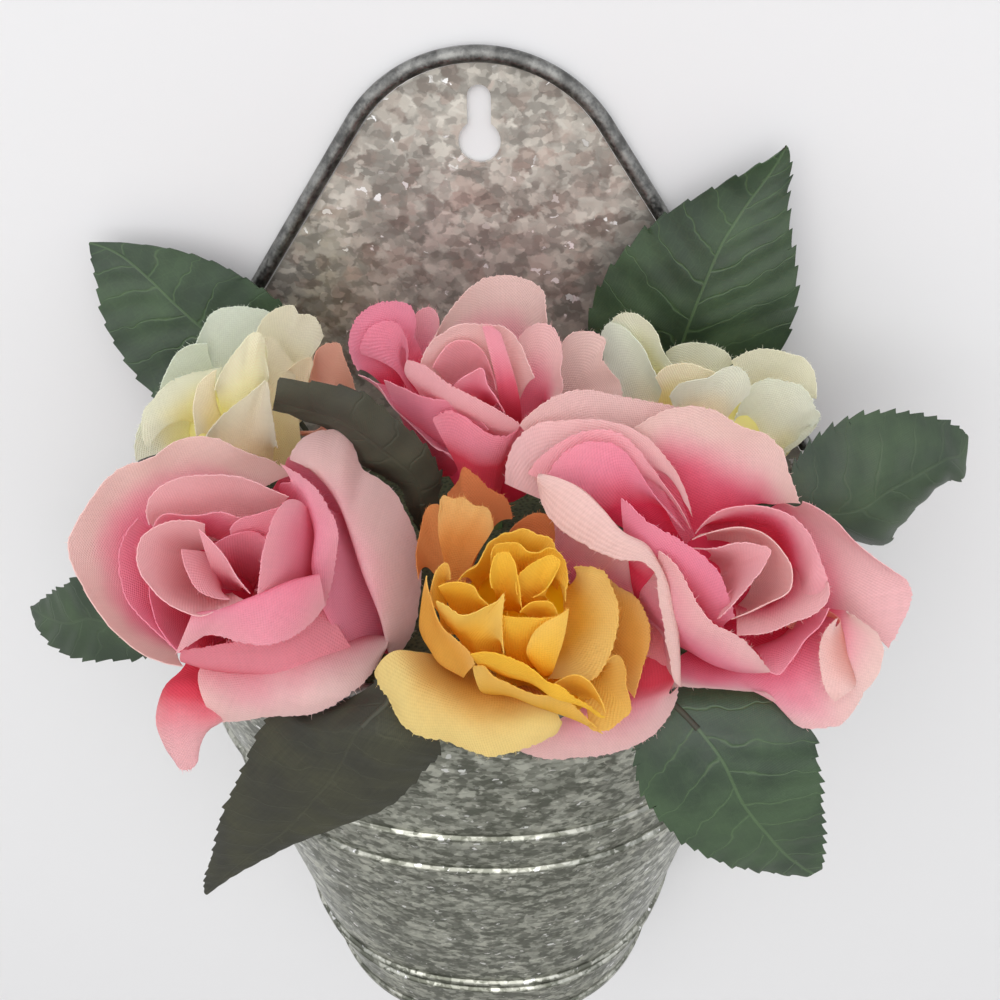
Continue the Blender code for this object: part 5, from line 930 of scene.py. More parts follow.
PINK = rose_cloth("pink_petals", (240, 78, 112), (250, 172, 194), (250, 226, 220), (240, 170, 140))
YELLOW = rose_cloth("yellow_petals", (248, 186, 2), (252, 218, 84), (252, 236, 168), (226, 150, 96))
CREAM = rose_cloth("cream_petals", (255, 248, 168), (255, 252, 230), (240, 245, 234), (255, 208, 186))
ROSE_LEFT = [
    ([[(-1.5, -8.5, 0), (-7.5, -4, -1), (-7, 4.5, -1), (0, 8.5, 0)],
      [(-2.5, -13, 0), (-9.5, -4.5, -1), (-9.5, 6, -1), (0, 12, 0)],
      [(-7, -19.5, 5), (-22.5, -8, 5), (-24, 9.5, 5), (-11.5, 21.5, 5), (11, 21, 3)],
      [(-5.5, -22.5, 9), (-11, -21.5, 10), (-20.5, -15.5, 12), (-28, -6.5, 13), (-32.5, 3.5, 13),
       (-29.5, 12.5, 13), (-22.5, 22, 11), (-16.5, 24.5, 11), (-10, 29.5, 10), (-2.5, 30.5, 9),
       (5.5, 27.5, 8), (11, 26.5, 6), (16, 23.5, 4)]], (0.25, 1, 0.45, 0)),
    ([[(-3.5, -7, 4), (-1, -8.5, 4), (1.5, -8.5, 4)],
      [(-3.5, -7, 4), (-1, -13, 4), (3.5, -16.5, 4)],
      [(-11, -6.5, 10), (-8, -13.5, 10), (-2.5, -18.5, 9)],
      [(-14, -4.5, 14), (-12, -12, 16), (-6.5, -19, 15)]], (0.9, 0.1, 0.8, 0)),
    ([[(-6, 2.5, 2), (-7, -4.5, 2), (-1.5, -8.5, 2)],
      [(-6, 2.5, 2), (-7, -4.5, 2), (-2.5, -13, 2)],
      [(-14.5, 8, 8), (-15.5, -1, 9), (-12.5, -9, 9), (-4.5, -16, 8)],
      [(-18, 10.5, 13), (-21, 2.5, 15), (-20, -4, 15), (-15, -11.5, 16),
       (-6.5, -19, 14)]], (0.7, 0.3, 0.8, 0)),
    ([[(-8.5, 2, 4), (0, 6, 4), (6.5, 5.5, 4)],
      [(-10, 2.5, 6), (0, 6, 6), (11, 9.5, 6)],
      [(-14.5, 9, 13), (-2.5, 15, 13), (13.5, 15, 12)],
      [(-15, 9, 19), (-16, 12.5, 20), (-15, 15.5, 21), (-11.5, 18.5, 22), (-7, 20.5, 22), (-2, 21, 22),
       (4.5, 20.5, 22), (10.5, 19, 20), (15, 17.5, 19)]], (0, 0.7, -0.3, 0)),
    ([[(-8, 1, 4), (-2.5, 4.5, 4), (4.5, 5.5, 4)],
      [(-12.5, 7, 14), (-4.5, 10, 14), (3.5, 9.5, 14)],
      [(-14, 6.5, 20), (-12, 11, 21), (-8, 11.5, 22), (-3.5, 12, 22), (0.5, 13, 21),
       (4.5, 12, 20)]], (0.4, 0.4, 0.7, 0)),
    ([[(0, 4.5, 4), (-4.5, 2.5, 4), (-2.5, -3.5, 4), (4.5, -5, 4)],
      [(-2.5, 6.5, 17), (-11, 5, 17), (-10, -4.5, 17), (-2, -8, 18), (5, -5.5, 19)],
      [(-3, 9.5, 24), (-8.5, 10, 25), (-13, 8.5, 25), (-16, 5.5, 25), (-16.5, 2, 25),
       (-15.5, -1.5, 25), (-13, -4.5, 25), (-10, -7, 26), (-6, -9, 26), (-2.5, -10, 26),
       (1.5, -8.5, 26), (6.5, -6, 26)]], (-0.1, 0.7, -0.5, 0)),
    ([[(0, 2.5, 4), (1.5, -1, 4), (4, -4, 4)],
      [(-4.5, 4, 19), (-2, -1, 20), (2, -5, 20)],
      [(-7.5, 4, 23), (-6, -0.5, 24), (-3.5, -4.5, 24), (0, -6, 24),
       (3.5, -6, 24)]], (0.2, 0.5, 0.3, 0)),
    ([[(4.5, 1, 4), (8, -1.5, 4), (8, -3.5, 4)],
      [(3.5, 5.5, 17), (7.5, 7, 16), (12, 5.5, 17)],
      [(2.5, 9, 22), (4.5, 11.5, 23), (8.5, 13, 23), (14.5, 15.5, 22)]], (0.6, 0.3, 0.5, 0)),
    ([[(4, -3.5, 4), (6.5, -3.5, 4), (9, -4, 4)],
      [(1, 2, 15), (6.5, 3.5, 14), (12, 1.5, 15)],
      [(-1.5, 5, 20), (2, 7.5, 21), (7, 9, 21), (11.5, 6.5, 20), (14, 2, 19)]], (0.6, 0.2, 0.5, 0)),
    ([[(2, -5, 4), (4.5, -5.5, 4), (7, -5, 4)],
      [(-1.5, 2, 20), (2, 0, 20), (6.5, -3.5, 20)],
      [(-4, 8.5, 27), (-0.5, 5.5, 28), (2.5, 1.5, 28), (8, -4.5, 27)]], (0.4, 0.5, 0.3, 0)),
    ([[(7.5, 4, 4), (8.5, 0.5, 4), (8, -3, 4)],
      [(21, 11.5, 10), (23, 2, 8), (19.5, -7.5, 10)],
      [(18.5, 16, 20), (18.5, 5.5, 19), (16.5, -4.5, 20)],
      [(14.5, 16.5, 25), (12, 13, 27), (10.5, 8.5, 28), (9.5, 3, 29), (9.5, -1, 29),
       (9.5, -5, 28)]], (0.8, 0.4, 0.6, 0)),
    ([[(5.5, 6.5, 4), (8, 3, 4), (8.5, -2, 4)],
      [(14, 16.5, 6), (20, 7, 4), (22.5, -5, 6)],
      [(13, 20.5, 13), (20.5, 12.5, 13), (22.5, 2, 13), (23.5, -7.5, 11)],
      [(15, 21.5, 19), (18.5, 18, 21), (21, 13, 21), (22, 7.5, 21), (22.5, 2, 20), (24, -5.5, 17)],
      [(12.5, 25, 18), (17.5, 22.5, 20), (21.5, 19, 21), (24.5, 15, 21), (26.5, 10.5, 21),
       (26.5, 5.5, 20), (26, -0.5, 19), (25, -6.5, 17)]], (1.2, 0.5, 0.75, 0)),
    ([[(7.5, 4, 2), (8.5, 0, 2), (8, -2.5, 0)],
      [(29.5, 16.5, 2), (38.5, 0.5, 2), (42.5, -14, 0)],
      [(27, 15, 10), (31.5, 2, 11), (33.5, -16, 8)],
      [(23, 16.5, 18), (25.5, 5.5, 19), (24.5, -7, 17)]], (1, 0, 0.9, 0)),
    ([[(4.5, 7.5, 0), (7.5, 3.5, -2), (8.5, -1, -2), (8, -3, 0)],
      [(14, 24, 0), (26.5, 12, -2), (37, -5.5, -2), (43, -18, 0)],
      [(15.5, 28, 6), (26.5, 21, 9), (36, 4, 9), (42, -15, 7)],
      [(19, 25.5, 13), (23.5, 21, 15), (27, 16, 16), (30.5, 9, 16), (34, 0.5, 16), (37.5, -7.5, 14),
       (41, -16, 10)],
      [(15, 26.5, 13), (17, 31, 13), (20.5, 33.5, 12), (24, 34.5, 11), (27.5, 33.5, 11),
       (30, 30.5, 10), (32.5, 25.5, 10), (36, 24, 10), (40.5, 21, 9), (43, 17, 9), (46, 11.5, 8),
       (48, 4, 8), (48.5, -3, 8), (48, -10.5, 8), (46.5, -15, 7),
       (43.5, -18.5, 7)]], (0.6, 0.9, 0.55, 0)),
    # This petal lies in the shadow under the rolled petal above it. Its depth of 3 makes nearly all of it
    # heart colour: partly the cloth's deep pink, partly painted shade.
    ([[(0, -8.5, 4), (6.5, -5.5, 4), (8, -2.5, 4)],
      [(0, -16.5, 4), (17.5, -14.5, 4), (31.5, -10.5, 4)],
      [(-5.5, -21, 11), (5.5, -23.5, 12), (19, -23, 13), (33, -17, 12)],
      [(-6, -18.5, 14), (5.5, -16, 16), (16.5, -14, 16), (25.5, -6.5, 14)]], (3, 0, 0.9, 0.2)),
    ([[(0, -8.5, 3), (4, -7.5, 3), (7.5, -4, 3)],
      [(0, -14, 3), (8, -14.5, 3), (20, -10, 3)],
      [(-4.5, -15, 14), (9, -11.5, 15), (23.5, -5.5, 14)],
      [(-4, -10.5, 24), (1, -8.5, 26), (7, -6, 28), (15, -2.5, 28), (22.5, 0.5, 26)],
      [(-7, -19, 21), (-4, -16.5, 23), (0, -14.5, 24), (6.5, -15.5, 25), (13, -15.5, 26),
       (18.5, -13, 25), (24.5, -6.5, 24)]], (1.5, 0.6, 0.75, 0)),
    ([[(8, -3, 3), (7, -4.5, 2), (5, -6.5, 3)],
      [(30.5, -12.5, 3), (20, -13, 2), (9, -12, 3)],
      [(41, -14, 10), (28, -19, 16), (12, -24.5, 13.5), (-2, -24.5, 12)],
      [(40.5, -15.5, 13), (30, -23.5, 19), (15.5, -29.5, 15), (0, -30, 12)],
      [(40, -17, 12), (33.5, -25, 19), (24.5, -31, 15.5), (12.5, -33.5, 12),
       (3, -34.5, 9)]], (1.2, 0.9, 0.6, 0.1)),
    ([[(3, -8, 4), (1, -8.5, 4), (-0.5, -8.5, 4), (-2, -8, 4)],
      [(8, -22, 5), (3, -23, 6), (-1.5, -23, 6), (-5.5, -23, 6)],
      [(5.5, -28, 9), (0, -28, 11), (-5.5, -27, 11), (-9.5, -28, 8)],
      [(5, -33.5, 10), (0, -33.5, 12), (-5.5, -32.5, 12), (-10.5, -34.5, 9)],
      [(1, -37, 9), (-2.5, -38.5, 10), (-5.5, -39, 10), (-8.5, -40, 8)],
      [(-0.5, -44, 7), (-2.5, -46, 7), (-4, -46, 7), (-5.5, -44, 7)]], (2, 0.6, 0.5, 0.1)),
]
make_rose("left", (-53, -84, -80.6), 0.93, ROSE_LEFT, PINK, 16)
ROSE_YELLOW = [
    ([[(-10.5, 2.5, -3.5), (-8, 3, -3.5), (-5.5, 3, -3.5)],
      [(-15, 4.5, -4), (-12.5, 4, -4), (-10.5, 4.5, -4)],
      [(-17, 15.5, 0), (-12.5, 17, 0), (-8, 17, 0)],
      [(-18, 24.5, 4), (-16, 27.5, 4), (-15, 30.5, 5), (-12, 29, 5), (-9, 26.5, 4), (-5, 24.5, 3),
       (-3.5, 20, 2)]], (0.2, 0, 0.9, 1.5)),
    ([[(-10.5, 0, -3.5), (-8.5, 1, -3.5), (-6, 2.5, -3.5)],
      [(-15.5, 2, -6), (-14, 1.5, -6), (-13, 2, -6)],
      [(-22, 8, -2), (-20, 10, -1), (-17, 10.5, -1)],
      [(-23.5, 5, 1), (-24, 10, 2), (-23.5, 16.5, 3), (-22, 21.5, 3), (-19.5, 22, 3),
       (-18, 19, 2)]], (0.3, 0.1, 0.8, 0.9)),
    ([[(-11, 1.5, 2), (-8.5, 1.5, 2), (-6, 1, 2)],
      [(-14.5, 2, 2), (-13, 1.5, 2), (-11, 2, 2)],
      [(-18, 11, 8), (-14.5, 11, 7), (-11, 9.5, 8)],
      [(-19, 16, 12), (-13.5, 16, 12), (-8, 15, 12)],
      [(-18.5, 20.5, 14), (-18.5, 23, 14), (-16, 22.5, 15), (-14, 23, 14), (-11.5, 21.5, 15),
       (-8.5, 21, 14), (-7.5, 19, 14), (-7, 17, 13)]], (0.2, 0.5, 0.7, 0.75)),
    ([[(-3, 8, 0), (0, 8.5, -1), (3, 8, 0)],
      [(-4.5, 11, 0), (0, 11, -1), (4.5, 11, 0)],
      [(-4.5, 14.5, 3), (0.5, 16.5, 3), (6.5, 15.5, 3)],
      [(-3.5, 17.5, 5), (-1, 20, 6), (2, 21.5, 6), (5, 21, 6), (6, 18.5, 4)]], (0.2, 0.2, 0.8, 1)),
    ([[(-8.5, 0, 0), (-1, 2, -2), (8, 0, 0)],
      [(-11, 5.5, 8), (-1, 10, 6), (8.5, 6.5, 8)],
      [(-13, 4.5, 13), (-11.5, 6.5, 14), (-9.5, 8, 14), (-8.5, 10.5, 15), (-7.5, 13.5, 15),
       (-5.5, 15.5, 15), (-3, 16.5, 16), (-0.5, 17.5, 16), (2.5, 16.5, 16), (5.5, 16, 16),
       (7.5, 13, 16), (9.5, 10, 15), (10, 6.5, 15), (10, 2.5, 15)]], (0.7, 0.3, 0.7, 0)),
    ([[(-5.5, 0, 4), (0, 1, 3), (6.5, 0, 4)],
      [(-6.5, 7.5, 12), (0, 9.5, 12), (6.5, 7.5, 12)],
      [(-7, 10.5, 17), (-6.5, 13, 18), (-4, 14, 19), (-1.5, 14, 19), (1, 12, 20), (3.5, 12, 20),
       (5, 13, 20), (7.5, 12, 19), (9, 9.5, 18), (9.5, 5, 18)]], (0.9, 0.2, 0.8, 0)),
    ([[(-4, -2.5, 4), (-2, -3.5, 4), (0.5, -4.5, 4)],
      [(-5.5, 3, 15), (-2.5, 2, 13), (0, 1, 15)],
      [(-6, 4, 21), (-6.5, 8, 22), (-5.5, 11, 23), (-3.5, 11.5, 23), (-2, 10, 23), (-1, 7, 22),
       (0, 3.5, 21), (0.5, 0, 20)]], (1.2, 0.1, 0.8, 0)),
    ([[(1, -3.5, 4), (2.5, -4, 4), (4.5, -2, 4)],
      [(-0.5, 2.5, 15), (2.5, 2, 14), (5.5, 3, 15)],
      [(-1, 3, 20), (-1, 6.5, 21), (1, 9, 22), (3, 10.5, 23), (5.5, 11.5, 23), (7, 11, 23),
       (6.5, 7.5, 22), (5, 4.5, 21), (2.5, 2.5, 20)]], (1.1, 0.1, 0.8, 0)),
    ([[(3.5, -5.5, 4), (5.5, -6, 4), (7, -5, 4)],
      [(1.5, -1, 16), (4.5, -0.5, 15), (7.5, -1.5, 16)],
      [(0, -0.5, 21), (2, 1.5, 22), (4, 2, 23), (6, 2, 23), (7.5, 0.5, 22),
       (8, -1.5, 21)]], (1, 0.1, 0.8, 0)),
    ([[(-8, -5, 4), (-5.5, -5.5, 4), (-3.5, -6, 4)],
      [(-9, -6.5, 4), (-6.5, -6.5, 4), (-4.5, -5.5, 4)],
      [(-16, 1, 12), (-12, 1, 13), (-6, -1, 13)],
      [(-17.5, 3.5, 18), (-15, 4.5, 19), (-12, 4.5, 20), (-10, 4, 20), (-8.5, 2, 20), (-6.5, 0.5, 20),
       (-5, -0.5, 19)]], (0.8, 0.2, 0.8, 0)),
    ([[(-5.5, -7.5, 4), (-3, -8, 4), (-0.5, -8.5, 4)],
      [(-6.5, -11, 6), (-4.5, -11.5, 6), (-2.5, -10.5, 6)],
      [(-15, -4.5, 14), (-8.5, -6.5, 16), (-3, -6.5, 16)],
      [(-17.5, 0.5, 20), (-14.5, -0.5, 21), (-12, -2, 22), (-9, -1.5, 23), (-6.5, 0, 24),
       (-4.5, 1.5, 24), (-3.5, 3, 25), (-3.5, -0.5, 24), (-3.5, -4, 22),
       (-2.5, -9.5, 20)]], (0.5, 0.4, 0.6, 0)),
    ([[(-1, -8.5, 4), (0.5, -8.5, 4), (2.5, -8, 4)],
      [(-1, -12, 6), (1, -12.5, 6), (3.5, -11.5, 6)],
      [(-3, -6.5, 16), (1, -6.5, 17), (5.5, -6.5, 16)],
      [(-4, -1.5, 22), (-1.5, -1.5, 23), (1.5, -1.5, 23), (5, -1.5, 23), (8, -0.5, 22),
       (9.5, 0.5, 21)]], (1.1, 0.1, 0.8, 0)),
    ([[(1, -7.5, 4), (3.5, -7.5, 4), (6, -8, 4)],
      [(5.5, -13, 12), (6.5, -13.5, 12), (7.5, -13, 12)],
      [(2, -8.5, 20), (5, -9.5, 20), (8.5, -9.5, 19)],
      [(2.5, -6, 22), (6, -6, 22), (9.5, -5, 21)],
      [(3.5, -4, 23), (5.5, -2, 23), (8, -0.5, 23), (10, 1, 22)]], (1, 0.3, 0.6, 0)),
    ([[(5.5, -6.5, 2), (5.5, -2.5, 1), (6, 3.5, 2)],
      [(8, -11.5, 8), (15, -2, 9), (12, 8, 8)],
      [(7, -14, 12), (11.5, -13.5, 13), (15.5, -14, 13), (17.5, -12.5, 13), (19.5, -8.5, 13),
       (20.5, -3, 13), (20.5, 2, 13), (19, 6.5, 13), (17.5, 9.5, 12), (14.5, 10.5, 12),
       (11, 10.5, 11)]], (0.4, 0.5, 0.5, 0.2)),
    ([[(8, -2, -2), (8.5, 2, -2), (7.5, 4, -2)],
      [(9, -2.5, -2), (10, 2, -2), (11.5, 5.5, -2)],
      [(20, -11, 4), (22, -3.5, 4), (19, 5.5, 4)],
      [(26, -17, 8), (26.5, -13.5, 9), (27.5, -9.5, 9), (28.5, -5.5, 9), (28.5, -1.5, 8), (27, 2, 7),
       (25, 5, 5.5), (22, 6.5, 4.5), (18.5, 9, 3.5)]], (0, 0.6, 0.8, 0.5)),
    ([[(5.5, -6.5, 0), (7, -5, 0), (7.5, -4, 0)],
      [(9, -10, 0), (11, -8.5, 0), (13.5, -6.5, 0)],
      [(15, -17, 9), (18.5, -14, 9), (19.5, -9.5, 9)],
      [(16.5, -23.5, 14), (18.5, -24, 14), (21, -23.5, 14), (23, -21.5, 14), (25, -19.5, 14),
       (24.5, -16.5, 14), (23.5, -14, 14), (23, -10.5, 14), (21.5, -8, 13),
       (19, -9.5, 13)]], (0.3, 0.3, 0.6, 0.3)),
    ([[(2, -6.5, 4), (4.5, -7, 4), (7, -7.5, 4)],
      [(12, -20.5, 6), (13.5, -21, 6), (15, -20, 6)],
      [(9.5, -16, 12), (13, -15.5, 12), (17, -17.5, 12)],
      [(8, -15, 16), (10, -13.5, 17), (13, -12.5, 18), (15.5, -13.5, 18), (17.5, -16, 17),
       (19.5, -20, 16)]], (0.6, 0.3, 0.7, 0.1)),
    ([[(-3, -8, 4), (1.5, -8.5, 4), (5, -7, 4)],
      [(-4, -11, 4), (2, -12, 4), (9, -13, 4)],
      [(-7.5, -13, 13), (2, -15, 13), (15, -19, 13)],
      [(-8.5, -12, 17), (-3, -12, 18), (2, -13.5, 18), (8.5, -17, 18), (13.5, -18.5, 18),
       (18, -21, 17)],
      [(-9.5, -10.5, 20), (-6, -9.5, 21), (-3, -9.5, 22), (1, -10.5, 22), (4, -12.5, 22),
       (6.5, -14.5, 21), (9.5, -15, 21), (12, -16.5, 20), (15.5, -18.5, 19),
       (19.5, -21, 17)]], (1.4, 0.1, 0.9, 0)),
    ([[(-2.5, -8, 3.5), (1, -8.5, 3.5), (4, -7.5, 3.5)],
      [(-5.5, -18, 3.5), (2, -19.5, 3.5), (11, -20.5, 3.5)],
      [(-7, -18, 8), (2, -19.5, 9), (15, -22.5, 9)],
      [(-9, -12.5, 15), (-7, -12, 16), (-4, -14.5, 16), (-1.5, -15.5, 16), (2.5, -17, 16),
       (6.5, -17.5, 16), (9.5, -17, 16), (13.5, -19.5, 15), (17, -22.5, 14),
       (19.5, -24.5, 13)]], (0.7, 0.4, 0.7, 0.1)),
    ([[(-7.5, -4, 3), (-6.5, -5.5, 3), (-5.5, -6.5, 3)],
      [(-15.5, -9, 3), (-13, -10.5, 3), (-9.5, -11.5, 3)],
      [(-21, -6.5, 8), (-17, -12, 10), (-11, -15.5, 10)],
      [(-21, -0.5, 14), (-17, -6.5, 15), (-10, -14, 14)],
      [(-20, 5.5, 18), (-19.5, 2, 19), (-18, -1.5, 20), (-15.5, -5, 20), (-12.5, -7.5, 20),
       (-10, -9.5, 20), (-8.5, -12, 18)]], (0.2, 0.6, 0.85, 0.4)),
    ([[(-8.5, -5, 3.5), (-8, -2.5, 3.5), (-7.5, 0, 3.5)],
      [(-15.5, -6.5, 4), (-15, -4.5, 3), (-14.5, -2.5, 3)],
      [(-17.5, -2, 10), (-17.5, 1, 10), (-16.5, 4, 10)],
      [(-18.5, -0.5, 15), (-19, 3, 16), (-18, 7, 16), (-16.5, 8.5, 16),
       (-15.5, 5, 15)]], (0.5, 0.4, 0.7, 0.2)),
    ([[(-6, -6, -3), (-4, -7.5, -3), (-1.5, -8.5, -3)],
      [(-11.5, -11.5, -3), (-7, -13, -3), (-2.5, -13.5, -3)],
      [(-21, -11, 5), (-8.5, -19.5, 7), (8, -19, 6)],
      [(-26.5, -11, 9), (-15, -22, 11), (10, -22, 9)],
      [(-30.5, -16, 9), (-29, -19, 9), (-26.5, -21.5, 9), (-24.5, -25, 9), (-21, -28, 9),
       (-17, -29, 9), (-13.5, -29.5, 9), (-10.5, -30.5, 9), (-7, -31.5, 9), (-4, -32, 9), (0, -31, 9),
       (4.5, -29, 9), (7.5, -27, 9), (10, -25, 9), (10.5, -23, 9)]], (0.2, 0.9, 0.5, 0.5)),
]
make_rose("yellow", (15.2, -92, -82), 0.95, ROSE_YELLOW, YELLOW, 23)
